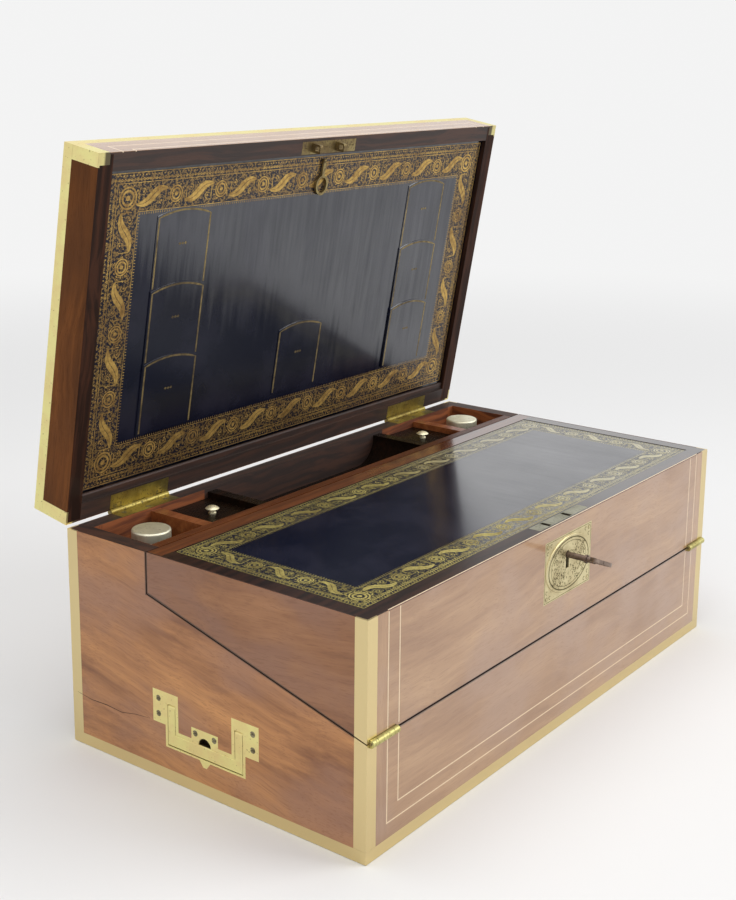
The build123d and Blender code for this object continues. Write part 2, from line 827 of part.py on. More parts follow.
# The bolt is a bar with two hooks, whose beaks slide into the eyes of the lid's links.
bolt_y_low = link_middle_y - bolt_thickness / 2
bolt_low = body_height - bolt_floor
beak_middle = lid_bottom - link_drop + link_tip + link_eye / 2
beak_top = beak_middle + bolt_beak / 2
hook_length = bolt_throw + link_thickness
hook_stem = bolt_bar
hook_rest = [x + link_thickness / 2 + link_room + loose for x in link_x]
bolt_end = hook_rest[1] + hook_length
with BuildPart() as lock_case:
    with BuildSketch(Plane.XY.offset(lock_low)):
        rect(-lock_width / 2, lock_width / 2, lock_front_y, lock_back_y)
    extrude(amount=lock_top - lock_low)
    with BuildSketch(Plane.XY.offset(lock_top)):
        rect(-selvedge_width / 2, selvedge_width / 2, selvedge_front_y, selvedge_back_y)
    extrude(amount=selvedge_thickness)
    with BuildSketch(Plane.XY.offset(body_height)):
        for x in link_x:
            with Locations((x, link_middle_y)):
                Rectangle(link_thickness + 2 * link_room, link_width + 2 * link_room)
    extrude(amount=-link_drop - 2 * link_room, mode=Mode.SUBTRACT)
    with BuildSketch(Plane.XY.offset(bolt_low)):
        rect(
            hook_rest[0] - bolt_throw - loose,
            bolt_end + loose,
            bolt_y_low - loose,
            bolt_y_low + bolt_thickness + loose,
        )
    extrude(amount=beak_top - bolt_low + loose, mode=Mode.SUBTRACT)
    with BuildSketch(Plane.XZ.offset(-lock_front_y)):
        keyhole()
    extrude(amount=-key_in, mode=Mode.SUBTRACT)
    with BuildSketch(Plane.XZ.offset(-lock_front_y - lock_front_wall)):
        with Locations((0, keyhole_z)):
            Circle(bit_room)
    extrude(amount=-key_bit_length - 2 * loose, mode=Mode.SUBTRACT)
save(lock_case, "lock_case")

with BuildPart() as lock_bolt:
    with BuildSketch(Plane.XZ.offset(-bolt_y_low)):
        rect(hook_rest[0] + hook_length - hook_stem, bolt_end, bolt_low, bolt_low + bolt_bar)
        for x in hook_rest:
            rect(x + hook_length - hook_stem, x + hook_length, bolt_low, beak_top)
            rect(x, x + hook_length, beak_top - bolt_beak, beak_top)
    extrude(amount=-bolt_thickness)
save(lock_bolt, "lock_bolt")

key_plane = Plane(
    origin=(0, -half_depth, keyhole_z),
    x_dir=(cos(radians(key_tilt)), 0, -sin(radians(key_tilt))),
    z_dir=(sin(radians(key_tilt)), 0, cos(radians(key_tilt))),
)
bow_middle = (key_bow_out + key_out) / 2
bow_half_length = (key_out - key_bow_out) / 2
with BuildPart() as key:
    with BuildSketch(Plane.XZ.offset(half_depth - key_in)):
        with Locations((0, keyhole_z)):
            Circle(key_shank)
    extrude(amount=key_in + key_bow_out + 2 * key_bow_wire)
    with BuildSketch(Plane.XZ.offset(half_depth + key_collar_out)):
        with Locations((0, keyhole_z)):
            Circle(key_shank + key_collar_rise)
    extrude(amount=key_collar_length)
    with BuildSketch(key_plane.offset(-key_bow_wire)):
        with Locations((0, -bow_middle)):
            Ellipse(key_bow_half_width, bow_half_length)
            Ellipse(key_bow_half_width - key_bow_band, bow_half_length - key_bow_band, mode=Mode.SUBTRACT)
    extrude(amount=2 * key_bow_wire)
    with BuildSketch(key_plane.offset(-key_bit_thickness / 2)):
        rect(0, key_bit_reach, key_in - key_bit_length, key_in)
    extrude(amount=key_bit_thickness)
save(key, "key")

# ================================================================ flush handles
face_plane = Plane.YZ.offset(-half_width)
bail_half = bail_width / 2
bail_top = bail_pivot_z + bail_thickness / 2
bail_axis_x = bail_thickness / 2 - half_width
pin_start = handle_width / 2 - handle_ear + bail_pin_clear
pin_end = handle_channel / 2 + bail_pin_seat


def bail_outline(room):
    """The bail's U, grown by the room it needs, in the open sketch."""
    rect(handle_y - bail_half - room, handle_y + bail_half + room, bail_bottom - room, bail_top + room)
    rect(
        handle_y - bail_half + bail_arm + room,
        handle_y + bail_half - bail_arm - room,
        bail_bottom + bail_bar + room,
        bail_top + room,
        mode=Mode.SUBTRACT,
    )


def pivot_places():
    """Where the two pivot pins of the left handle lie, each along Y."""
    middle = (pin_start + pin_end) / 2
    return [
        Plane(origin=(bail_axis_x, handle_y + side * middle, bail_pivot_z), x_dir=(1, 0, 0), z_dir=(0, 1, 0))
        for side in (-1, 1)
    ]


with BuildPart() as left_handle_plate:
    with BuildSketch(face_plane):
        handle_outline()
    extrude(amount=handle_plate)
    with BuildSketch(face_plane):
        bail_outline(bail_room)
    extrude(amount=bail_thickness + bail_room, mode=Mode.SUBTRACT)
    with BuildSketch(face_plane):
        with Locations((handle_y, bail_bottom + bail_bar + bail_room)):
            Circle(finger_radius)
    extrude(amount=finger_depth, mode=Mode.SUBTRACT)
    with Locations(*pivot_places()):
        Cylinder(bail_pin + pin_play, pin_end - pin_start, mode=Mode.SUBTRACT)
    with Locations(*handle_screw_places()):
        CounterSinkHole(screw_shank + pin_play, screw_head + pin_play, depth=handle_plate)
save(left_handle_plate, "left_handle_plate")

with BuildPart() as left_bail:
    with BuildSketch(face_plane):
        bail_outline(0)
    extrude(amount=bail_thickness)
    arm_ends = left_bail.faces().group_by(Axis.Z)[-1].edges().filter_by(Axis.Y)
    fillet(arm_ends, radius=bail_thickness / 2 - pin_play)
    grip_edges = left_bail.faces().sort_by(Axis.X)[0].edges().filter_by(Axis.Y)
    chamfer(grip_edges, length=bail_arris)
    with Locations(*pivot_places()):
        Cylinder(bail_pin + pin_play, pin_end - pin_start, mode=Mode.SUBTRACT)
save(left_bail, "left_bail")

with BuildPart() as right_handle_plate:
    mirror(left_handle_plate.part, about=Plane.YZ)
save(right_handle_plate, "right_handle_plate")

with BuildPart() as right_bail:
    mirror(left_bail.part, about=Plane.YZ)
save(right_bail, "right_bail")


def screw(length):
    """Countersunk screw, its slotted head level with the plane it is set on."""
    with BuildPart() as body:
        with BuildSketch(Plane.XZ):
            Polygon(
                (0, 0),
                (screw_head, 0),
                (screw_shank, screw_shank - screw_head),
                (screw_shank, -length),
                (0, -length),
                align=None,
            )
        revolve(axis=Axis.Z)
        Box(2 * screw_head, screw_slot, 2 * screw_slot_depth, mode=Mode.SUBTRACT)
    return body.part


with BuildPart() as case_screws:
    with Locations(*handle_screw_places()):
        add(screw(screw_length))
    mirror(case_screws.part, about=Plane.YZ)
    with Locations(*body_leaf_screws):
        add(screw(hinge_screw_length))
save(case_screws, "case_screws")

# ================================================================ hinges
def hinge_leaf(planes, length, reach, thickness, barrel, first, screws):
    """One leaf of each hinge of a pair: a plate let into the wood and every second knuckle."""
    step = length / knuckles
    relief = barrel + barrel_room
    leaf_z = -(part_gap + thickness) / 2
    with BuildPart() as pair:
        with Locations(*planes):
            with Locations((0, -(reach + relief) / 2, leaf_z)):
                Box(length, reach - relief, thickness)
            for k in range(first, knuckles, 2):
                x = (k + 0.5) * step - length / 2
                with Locations((x, -relief / 2, leaf_z)):
                    Box(step - knuckle_gap, relief, thickness)
                with Locations((x, 0, 0)):
                    Cylinder(barrel, step - knuckle_gap, rotation=(0, 90, 0))
            Cylinder(hinge_pin + pin_play, length + knuckle_gap, rotation=(0, 90, 0), mode=Mode.SUBTRACT)
        if screws:
            with Locations(*screws):
                CounterSinkHole(screw_shank + pin_play, screw_head + pin_play, depth=thickness + let_in)
    return pair


lid_hinge = (lid_hinge_length, lid_leaf_reach, lid_leaf, lid_barrel)
fold_hinge = (fold_hinge_length, fold_leaf_reach, fold_leaf, fold_barrel)
save(hinge_leaf(lid_hinge_planes(1), *lid_hinge, 0, body_leaf_screws), "lid_hinge_base_leaves")
save_raised(hinge_leaf(lid_hinge_planes(-1), *lid_hinge, 1, lid_leaf_screws), "lid_hinge_lid_leaves")
save(hinge_leaf(fold_hinge_planes(-1), *fold_hinge, 0, []), "fold_hinge_base_leaves")
save(hinge_leaf(fold_hinge_planes(1), *fold_hinge, 1, []), "fold_hinge_slope_leaves")

with BuildPart() as pivot_pins:
    with Locations(*pivot_places()):
        Cylinder(bail_pin, pin_end - pin_start)
    mirror(pivot_pins.part, about=Plane.YZ)
    with Locations(*lid_hinge_planes(1)):
        Cylinder(hinge_pin, lid_hinge_length, rotation=(0, 90, 0))
    with Locations(*fold_hinge_planes(-1)):
        Cylinder(hinge_pin, fold_hinge_length, rotation=(0, 90, 0))
save(pivot_pins, "pivot_pins")

# ================================================================ lid, drawn shut
lid_core_top = closed_height - lid_board
lid_field_top = closed_height - edge_brass

with BuildPart() as lid_top_board:
    with BuildSketch(Plane.XY.offset(lid_core_top)):
        Rectangle(2 * core_width, 2 * core_depth)
    extrude(amount=lid_board - veneer)
    with BuildSketch(Plane.XY.offset(closed_height - veneer)):
        Rectangle(case_width - 2 * edge_brass, case_depth - 2 * edge_brass)
    extrude(amount=veneer)
save_raised(lid_top_board, "lid_top_board")


def corner_returns():
    """Brass plates in the rim of the lid, inside the upright corners, in the open sketch."""
    for x_near, x_far in ((-core_width, return_width - half_width), (half_width - return_width, core_width)):
        rect(x_near, x_far, -core_depth, return_depth - half_depth)


with BuildPart() as lid_left_board:
    with BuildSketch(Plane.YZ.offset(-core_width)):
        rect(-core_depth, core_depth, lid_bottom, lid_core_top)
    extrude(amount=wall - veneer)
    with BuildSketch(Plane.YZ.offset(-half_width)):
        rect(corner_brass - half_depth, half_depth - corner_brass, lid_bottom, lid_field_top)
    extrude(amount=veneer)
    with BuildSketch(Plane.XY.offset(lid_bottom)):
        corner_returns()
    extrude(amount=veneer, mode=Mode.SUBTRACT)
save_raised(lid_left_board, "lid_left_board")

with BuildPart() as lid_right_board:
    mirror(lid_left_board.part, about=Plane.YZ)
save_raised(lid_right_board, "lid_right_board")

with BuildPart() as lid_front_board:
    with BuildSketch(Plane.XZ.offset(inner_depth)):
        rect(-inner_width, inner_width, lid_bottom, lid_core_top)
    extrude(amount=wall - veneer)
    with BuildSketch(Plane.XZ.offset(core_depth)):
        rect(corner_brass - half_width, half_width - corner_brass, lid_bottom, lid_field_top)
    extrude(amount=veneer)
    with BuildSketch(Plane.XZ.offset(half_depth)):
        stringing(string_insets, lid_string_crosses, lid_bottom)
    extrude(amount=-string_depth, mode=Mode.SUBTRACT)
    with BuildSketch(Plane.XY.offset(lid_bottom)):
        with Locations((0, link_middle_y)):
            Rectangle(link_plate_length + 2 * let_in, link_plate_width + 2 * let_in)
    extrude(amount=link_plate_thickness, mode=Mode.SUBTRACT)
    with Locations(*link_screws):
        Hole(screw_shank + pin_play, depth=hinge_screw_length + loose)
save_raised(lid_front_board, "lid_front_board")

with BuildPart() as lid_stringing:
    with BuildSketch(Plane.XZ.offset(half_depth)):
        stringing(string_insets, lid_string_crosses, lid_bottom)
    extrude(amount=-string_depth)
save_raised(lid_stringing, "lid_stringing")

with BuildPart() as lid_back_board:
    with BuildSketch(Plane.YZ.offset(-inner_width)):
        rect(inner_depth - bead_width, inner_depth, bead_low, bead_low + bead_height)
    extrude(amount=2 * inner_width)
    fillet(lid_back_board.edges().filter_by(Axis.X).group_by(Axis.Z)[0].sort_by(Axis.Y)[0], radius=bead_round)
    with BuildSketch(Plane.XZ.offset(-core_depth)):
        rect(-inner_width, inner_width, lid_bottom, lid_core_top)
    extrude(amount=wall - veneer)
    with BuildSketch(Plane.XZ.offset(-half_depth)):
        rect(corner_brass - half_width, half_width - corner_brass, lid_bottom, lid_field_top)
    extrude(amount=veneer)
    hinge_mortises(lid_hinge_planes(-1), lid_hinge_length, lid_leaf_reach, lid_leaf, lid_barrel)
    with Locations(*lid_leaf_screws):
        Hole(screw_shank + pin_play, depth=hinge_screw_length + loose)
save_raised(lid_back_board, "lid_back_board")

with BuildPart() as lid_bindings:
    with BuildSketch(Plane.XY.offset(lid_bottom)):
        for corner_x in (-1, 1):
            for corner_y in (-1, 1):
                corner_outline(corner_x, corner_y)
    extrude(amount=lid_field_top - lid_bottom - brass_joint)
    with BuildSketch(Plane.XY.offset(lid_bottom)):
        corner_returns()
    extrude(amount=veneer)
    with BuildSketch(Plane.XY.offset(lid_field_top)):
        edge_ring(veneer)
    extrude(amount=edge_brass)
    with BuildSketch(Plane.XY.offset(closed_height - veneer)):
        edge_ring(edge_brass)
    extrude(amount=veneer)
save_raised(lid_bindings, "lid_bindings")

with BuildPart() as lid_hinge_screws:
    with Locations(*lid_leaf_screws):
        add(screw(hinge_screw_length))
save_raised(lid_hinge_screws, "lid_hinge_screws")

with BuildPart() as link_plate:
    with BuildSketch(Plane.XY.offset(lid_bottom)):
        with Locations((0, link_middle_y)):
            Rectangle(link_plate_length, link_plate_width)
    extrude(amount=link_plate_thickness)
    for x in link_x:
        with BuildSketch(Plane.YZ.offset(x - link_thickness / 2)):
            with Locations((link_middle_y, lid_bottom - link_drop / 2)):
                Rectangle(link_width, link_drop)
        extrude(amount=link_thickness)
    fillet(link_plate.faces().group_by(Axis.Z)[0].edges().filter_by(Axis.X), radius=link_round)
    with BuildSketch(Plane.YZ.offset(-half_width)):
        with Locations((link_middle_y, beak_middle)):
            RectangleRounded(link_eye, link_eye, link_eye_round)
    extrude(amount=case_width, mode=Mode.SUBTRACT)
    with Locations(*link_screws):
        CounterSinkHole(screw_shank + pin_play, screw_head + pin_play, depth=link_plate_thickness + let_in)
        add(screw(hinge_screw_length))
save_raised(link_plate, "link_plate")

# ================================================================ wallet in the lid, drawn shut
panel_half = inner_width - loose
panel_front_edge = -inner_depth + panel_front_room
pocket_x = inner_width - pocket_side_inset
pocket_first = panel_front_edge + pocket_top_inset
pocket_bottom = panel_back_edge - pocket_bottom_inset
pocket_row = (pocket_bottom - pocket_first) / pocket_rows
middle_pocket_bottom = panel_back_edge - middle_pocket_inset
pull_y = panel_front_edge + pull_inset


def panel_sheet(z_low, thickness):
    """Flat sheet of the wallet's outline."""
    with BuildPart() as sheet:
        with BuildSketch(Plane.XY.offset(z_low)):
            rect(-panel_half, panel_half, panel_front_edge, panel_back_edge)
        extrude(amount=thickness)
    return sheet


save_raised(panel_sheet(panel_face + panel_leather, panel_board), "wallet_panel")

with BuildPart() as wallet_leather:
    add(panel_sheet(panel_face, panel_leather).part)
    with BuildSketch(Plane.XY.offset(panel_face)):
        with Locations((pull_x, pull_y)):
            Circle(pull_post + pin_play)
    extrude(amount=panel_leather, mode=Mode.SUBTRACT)
save_raised(wallet_leather, "wallet_leather")


def pocket_outline(x, top, bottom):
    """Straight-sided pocket with an arched mouth; its mouth faces the front of the shut lid."""
    half = pocket_width / 2
    with BuildLine() as outline:
        Polyline((x - half, top), (x - half, bottom), (x + half, bottom), (x + half, top))
        ThreePointArc((x - half, top), (x, top - pocket_arch), (x + half, top))
    make_face(outline.edges())


with BuildPart() as wallet_pockets:
    for layer in range(pocket_rows):
        with BuildSketch(Plane.XY.offset(panel_face - pocket_leather * layer)):
            for x in (-pocket_x, pocket_x):
                pocket_outline(x, pocket_first + layer * pocket_row, pocket_bottom)
            if layer == 0:
                pocket_outline(0, middle_pocket_bottom - pocket_row, middle_pocket_bottom)
        extrude(amount=-pocket_leather)
save_raised(wallet_pockets, "wallet_pockets")

# The pull is a pierced oval on a stem, forked round the cheek of a small post.
pivot_z = panel_face - pull_drop
stem_start = pull_y + pull_eye + loose
stem_end = pull_y + pull_stem
ring_y = stem_end + pull_ring_half_length - pull_ring_band / 2
fork_inner = pull_cheek / 2 + pull_play
fork_outer = fork_inner + pull_wire
with BuildPart() as pull_post_part:
    with BuildSketch(Plane.XY.offset(panel_face + panel_leather)):
        with Locations((pull_x, pull_y)):
            Circle(pull_post)
    extrude(amount=-panel_leather - pull_foot)
    with BuildSketch(Plane.YZ.offset(pull_x - pull_cheek / 2)):
        with Locations((pull_y, pivot_z)):
            Circle(pull_eye)
        rect(pull_y - pull_post, pull_y + pull_post, pivot_z, panel_face)
        with Locations((pull_y, pivot_z)):
            Circle(pull_pin + pin_play, mode=Mode.SUBTRACT)
    extrude(amount=pull_cheek)
save_raised(pull_post_part, "pull_post")

with BuildPart() as wallet_pull:
    with BuildSketch(Plane.YZ.offset(pull_x - fork_outer)):
        with Locations((pull_y, pivot_z)):
            Circle(pull_eye)
        rect(pull_y, stem_start, pivot_z - pull_wire, pivot_z + pull_wire)
    extrude(amount=2 * fork_outer)
    with BuildSketch(Plane.YZ.offset(pull_x - fork_inner)):
        with Locations((pull_y, pivot_z)):
            Circle(pull_eye + pull_play)
        rect(pull_y, stem_start, pivot_z - pull_eye, pivot_z + pull_eye)
    extrude(amount=2 * fork_inner, mode=Mode.SUBTRACT)
    with BuildSketch(Plane.YZ.offset(pull_x - fork_outer)):
        with Locations((pull_y, pivot_z)):
            Circle(pull_pin)
    extrude(amount=2 * fork_outer)
    with BuildSketch(Plane.XY.offset(pivot_z - pull_wire)):
        rect(pull_x - fork_outer, pull_x + fork_outer, stem_start, stem_end)
        with Locations((pull_x, ring_y)):
            Ellipse(pull_ring_half_width, pull_ring_half_length)
            Ellipse(
                pull_ring_half_width - pull_ring_band,
                pull_ring_half_length - pull_ring_band,
                mode=Mode.SUBTRACT,
            )
    extrude(amount=2 * pull_wire)
save_raised(wallet_pull, "wallet_pull")
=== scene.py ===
# A brass-bound writing slope, lid raised: finishes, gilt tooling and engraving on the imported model.
import bmesh
import bpy
import json
import math
import random
from mathutils import Matrix, Vector


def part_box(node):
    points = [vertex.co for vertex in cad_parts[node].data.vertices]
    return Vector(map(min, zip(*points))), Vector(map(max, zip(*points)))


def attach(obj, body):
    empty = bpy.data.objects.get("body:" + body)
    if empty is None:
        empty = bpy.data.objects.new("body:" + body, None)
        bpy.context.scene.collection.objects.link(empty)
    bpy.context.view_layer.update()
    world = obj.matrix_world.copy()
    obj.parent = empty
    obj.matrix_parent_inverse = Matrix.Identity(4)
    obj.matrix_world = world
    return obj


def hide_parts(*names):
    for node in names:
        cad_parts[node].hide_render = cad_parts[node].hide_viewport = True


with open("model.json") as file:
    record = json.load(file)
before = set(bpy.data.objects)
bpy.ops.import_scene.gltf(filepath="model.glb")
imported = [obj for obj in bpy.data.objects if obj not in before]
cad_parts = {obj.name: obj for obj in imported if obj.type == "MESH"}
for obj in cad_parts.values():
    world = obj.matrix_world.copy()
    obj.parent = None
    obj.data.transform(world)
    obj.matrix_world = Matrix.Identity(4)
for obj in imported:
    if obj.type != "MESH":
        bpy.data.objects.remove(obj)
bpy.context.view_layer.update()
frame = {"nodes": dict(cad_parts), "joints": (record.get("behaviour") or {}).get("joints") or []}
nodes = frame["nodes"]
joints = {joint["name"]: joint for joint in frame["joints"]}
print("frame loaded:", len(nodes), "nodes")

mm = 0.001
near = 0.1 * mm  # corners this close count as level
clear = 0.2 * mm  # keeps the end of a mask off the face beside it
rind = 0.3 * mm  # how far in the finish of the outside reaches
hingePlace = Vector(joints["lid_hinge"]["pos_m"])
shutTurn = -math.radians(joints["lid_hinge"]["range_deg"][0])  # from the raised lid to the shut one
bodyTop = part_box("back_board")[1].z
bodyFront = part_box("front_board")[0].y
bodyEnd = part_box("right_side_board")[1].x
raise_ = Matrix.Translation(hingePlace) @ Matrix.Rotation(-shutTurn, 4, "X") @ Matrix.Translation(-hingePlace)


def turnedBox(node, turn):  # corners of a piece that is turned, as it lies before its turn
    points = [turn.inverted() @ vertex.co for vertex in nodes[node].data.vertices]
    low = Vector([min(point[axis] for point in points) for axis in range(3)])
    high = Vector([max(point[axis] for point in points) for axis in range(3)])
    return low, high


def shutBox(node):  # corners of a piece of the lid as it lies when the lid is shut
    return turnedBox(node, raise_)


foldPlace = Vector(joints["slope_fold"]["pos_m"])
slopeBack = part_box("slope_left_side")[1].y
sideCorners = [vertex.co for vertex in nodes["slope_left_side"].data.vertices]
cutLow = min(corner.z for corner in sideCorners if corner.y > slopeBack - near)
cutRise = (cutLow - foldPlace.z) / (slopeBack - foldPlace.y)
cutTurn = math.atan(cutRise)
slant_ = Matrix.Translation(foldPlace) @ Matrix.Rotation(cutTurn, 4, "X") @ Matrix.Translation(-foldPlace)


# ---- shader maths
class Wire:  # one socket of a material; sums on it become Math nodes
    def __init__(self, paint, socket):
        self.paint = paint
        self.socket = socket

    def sum(self, operation, *values):
        return self.paint.node("ShaderNodeMath", {"operation": operation}, dict(enumerate(values)))

    def __add__(self, other):
        return self.sum("ADD", self, other)

    def __radd__(self, other):
        return self.sum("ADD", other, self)

    def __sub__(self, other):
        return self.sum("SUBTRACT", self, other)

    def __rsub__(self, other):
        return self.sum("SUBTRACT", other, self)

    def __mul__(self, other):
        return self.sum("MULTIPLY", self, other)

    def __abs__(self):
        return self.sum("ABSOLUTE", self)

    def least(self, other):
        return self.sum("MINIMUM", self, other)

    def most(self, other):
        return self.sum("MAXIMUM", self, other)

    def above(self, limit, soft=0.0):  # 1 above the limit, 0 below, with a soft step if asked
        if not soft:
            return self.sum("GREATER_THAN", self, limit)
        step = {"Value": self, "From Min": limit - soft, "From Max": limit + soft}
        return self.paint.node("ShaderNodeMapRange", {"interpolation_type": "SMOOTHSTEP"}, step)


class Paint:  # the nodes of one new material, or of the owner given
    def __init__(self, name, owner=None):
        self.owner = owner or bpy.data.materials.new(name)
        self.owner.use_nodes = True
        self.tree = self.owner.node_tree
        self.tree.nodes.clear()
        self.place = self.node("ShaderNodeTexCoord", out="Object")

    def node(self, kind, settings=None, inputs=None, out=0):
        made = self.tree.nodes.new(kind)
        for key, value in (settings or {}).items():
            if key == "stops":
                self.setStops(made.color_ramp.elements, value)
            else:
                setattr(made, key, value)
        for key, value in (inputs or {}).items():
            socket = made.inputs[key]
            if isinstance(value, Wire):
                self.tree.links.new(value.socket, socket)
            elif socket.type == "RGBA" and len(value) == 3:
                socket.default_value = (*value, 1)
            else:
                socket.default_value = value
        return Wire(self, made.outputs[out]) if len(made.outputs) else None

    def setStops(self, elements, stops):
        while len(elements) < len(stops):
            elements.new(0.5)
        for element, (place, colour) in zip(elements, stops):
            element.position = place
            element.color = (*colour, 1)

    def scaled(self, vector, scale):
        return self.node("ShaderNodeVectorMath", {"operation": "MULTIPLY"}, {0: vector, 1: scale})

    def moved(self, vector, offset):
        return self.node("ShaderNodeVectorMath", {"operation": "ADD"}, {0: vector, 1: offset})

    def axis(self, vector, letter):
        return self.node("ShaderNodeSeparateXYZ", inputs={0: vector}, out=letter)

    def noise(self, vector, detail=3.0, rough=0.55):
        inputs = {"Vector": vector, "Scale": 1.0, "Detail": detail, "Roughness": rough}
        return self.node("ShaderNodeTexNoise", inputs=inputs)

    def colours(self, factor, first, second):
        return self.node("ShaderNodeMix", {"data_type": "RGBA"}, {0: factor, 6: first, 7: second}, out=2)

    def vectors(self, factor, first, second):
        return self.node("ShaderNodeMix", {"data_type": "VECTOR"}, {0: factor, 4: first, 5: second}, out=1)

    def ramp(self, factor, stops):
        return self.node("ShaderNodeValToRGB", {"stops": stops}, {0: factor})

    def bump(self, height, strength, distance):
        inputs = {"Height": height, "Strength": strength, "Distance": distance}
        return self.node("ShaderNodeBump", inputs=inputs)

    def turnedPlace(self, middle, angle):
        inputs = {"Vector": self.place, "Center": middle, "Angle": angle}
        return self.node("ShaderNodeVectorRotate", {"rotation_type": "X_AXIS"}, inputs)

    def shutPlace(self):  # place on the lid as if it were shut
        return self.turnedPlace(hingePlace, shutTurn)

    def finish(self, inputs):
        shader = self.node("ShaderNodeBsdfPrincipled", inputs=inputs)
        self.node("ShaderNodeOutputMaterial", inputs={"Surface": shader})
        return self.owner


# ---- finishes
woodLook = {
    "front": {"light": (0.49, 0.292, 0.150), "middle": (0.385, 0.212, 0.104), "dark": (0.28, 0.140, 0.066),
              "mauve": (0.40, 0.245, 0.160), "coat": 0.85, "specular": 0.50, "roughness": 0.32},
    "side": {"light": (0.60, 0.282, 0.100), "middle": (0.43, 0.190, 0.070), "dark": (0.22, 0.086, 0.034),
             "mauve": (0.33, 0.170, 0.110), "coat": 0.25, "specular": 0.35, "roughness": 0.36},
    "slopeSide": {"light": (0.39, 0.180, 0.076), "middle": (0.29, 0.125, 0.052), "dark": (0.17, 0.068, 0.029),
                  "mauve": (0.26, 0.130, 0.085), "coat": 0.25, "specular": 0.35, "roughness": 0.36},
    # the lid's sides: darker than the body's sides, a painted shade laid into the wood's colour
    "shadedLidSide": {"light": (0.19, 0.064, 0.015), "middle": (0.125, 0.041, 0.009), "dark": (0.06, 0.019, 0.004),
                "mauve": (0.090, 0.032, 0.010), "coat": 0.02, "specular": 0.08, "roughness": 0.45},
}
cutLook = {
    # edge and edgeLight: the faces of the boards other than their outsides, dark wood with painted shade
    "edge": (0.020, 0.009, 0.006),
    "edgeLight": (0.052, 0.020, 0.011),
    "inside": (0.11, 0.026, 0.007),
    "insideLight": (0.30, 0.085, 0.022),
    "seam": (0.045, 0.026, 0.016),
    "seamGap": 0.5 * mm,
    "seamWidth": 0.8 * mm,
    "seamSoft": 0.4 * mm,
    "coat": 0.04,
}
wallThickness = 14.0 * mm
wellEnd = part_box("pen_tray")[1].x


def grainOf(paint, place, along, slant=0.0):  # wood figure along one axis: broad figure, streaks, pores
    turned = paint.node("ShaderNodeVectorRotate", {"rotation_type": "EULER_XYZ"},
                        {"Vector": place, "Rotation": (slant, 0.0, slant)})
    wander = paint.noise(paint.scaled(turned, (9, 9, 9)), 2.0)
    shift = paint.scaled(paint.node("ShaderNodeCombineXYZ", inputs={0: wander, 1: wander, 2: wander}),
                         (0.022, 0.022, 0.022))
    bent = paint.moved(turned, shift)

    def stretched(fine, coarse):
        return tuple(coarse if letter == along else fine for letter in "XYZ")

    broad = paint.noise(paint.scaled(bent, stretched(30, 6)), 3.0, 0.5)
    streak = paint.noise(paint.scaled(bent, stretched(230, 8)), 4.0, 0.55)
    pore = paint.noise(paint.scaled(bent, stretched(1300, 70)), 2.0, 0.5)
    return broad, streak, pore


def besideCut(paint, y, z):  # 1 close beside the cut between the body and its slope
    slant = abs(z - (y - foldPlace.y) * cutRise - foldPlace.z).most(y - slopeBack)
    upright = abs(y - slopeBack - cutLook["seamGap"]).most(cutLow - z)
    return 1 - slant.least(upright).above(cutLook["seamWidth"] + cutLook["seamGap"], cutLook["seamSoft"])


def veneered(name, along, look, turned=False, slant=0.0, banded=0.0):
    paint = Paint(name)
    place = paint.shutPlace() if turned else paint.place
    x = abs(paint.axis(place, "X"))
    y = paint.axis(place, "Y")
    z = paint.axis(place, "Z")
    figured = place
    if banded:  # upright crossbanding outside the stringing
        swapped = paint.node("ShaderNodeVectorRotate", {"rotation_type": "Y_AXIS"},
                             {"Vector": place, "Angle": math.radians(90)})
        figured = paint.vectors(x.above(banded), place, swapped)
    broad, streak, pore = grainOf(paint, figured, along, slant)
    drift = paint.noise(paint.scaled(place, (16, 11, 19)), 3.0, 0.5)
    figure = paint.ramp(broad * 0.62 + streak * 0.38,
                        [(0.33, look["dark"]), (0.50, look["middle"]), (0.67, look["light"])])
    figure = paint.colours(drift.above(0.54, 0.13) * 0.7, figure, look["mauve"])
    poreMask = pore.above(0.60, 0.08)
    skin = paint.colours(poreMask * 0.34, figure, look["dark"])
    outer = x.above(bodyEnd - rind).most(abs(y).above(-bodyFront - rind))
    # faces other than the outside take the dark edge wood: dark wood with painted shade
    edge = paint.colours(streak.above(0.52, 0.12), cutLook["edge"], cutLook["edgeLight"])
    if turned:
        outer = outer.most(z.above(shutBox("lid_top_board")[1].z - rind))
    else:
        skin = paint.colours(besideCut(paint, y, z) * 0.8, skin, cutLook["seam"])
        inside = x.above(wellEnd) * (1 - x.above(bodyEnd - wallThickness + clear))  # the trough stays dark
        inside = inside * y.above(slopeBack + clear) * (1 - y.above(-bodyFront - wallThickness + clear))
        red = paint.colours(streak.above(0.5, 0.12), cutLook["inside"], cutLook["insideLight"])
        edge = paint.colours(inside, edge, red)
    rough = (look["roughness"] + poreMask * 0.06 + broad * 0.06) * outer + (1 - outer) * 0.62
    return paint.finish({"Base Color": paint.colours(outer, edge, skin), "Roughness": rough,
                         "Specular IOR Level": look["specular"], "Coat Roughness": 0.10,
                         "Coat Weight": outer * (look["coat"] - cutLook["coat"]) + cutLook["coat"],
                         "Normal": paint.bump(poreMask * -1, 0.12, 0.4 * mm)})


def solidWood(name, along, colours, roughness, coat, specular=0.35):
    paint = Paint(name)
    broad, streak, pore = grainOf(paint, paint.place, along)
    poreMask = pore.above(0.60, 0.05)
    figure = paint.ramp(broad * 0.5 + streak * 0.5, list(zip((0.34, 0.52, 0.68), colours)))
    colour = paint.colours(poreMask * 0.4, figure, colours[0])
    rough = roughness + poreMask * 0.1
    return paint.finish({"Base Color": colour, "Roughness": rough, "Specular IOR Level": specular,
                         "Coat Weight": coat, "Coat Roughness": 0.12,
                         "Normal": paint.bump(poreMask * -1, 0.2, 0.4 * mm)})


frameLook = {
    "dark": (0.010, 0.005, 0.004),
    "light": (0.034, 0.014, 0.009),
    "back": (0.085, 0.024, 0.009),
    "backLight": (0.15, 0.045, 0.015),
    "polished": (0.02, 0.07),
}


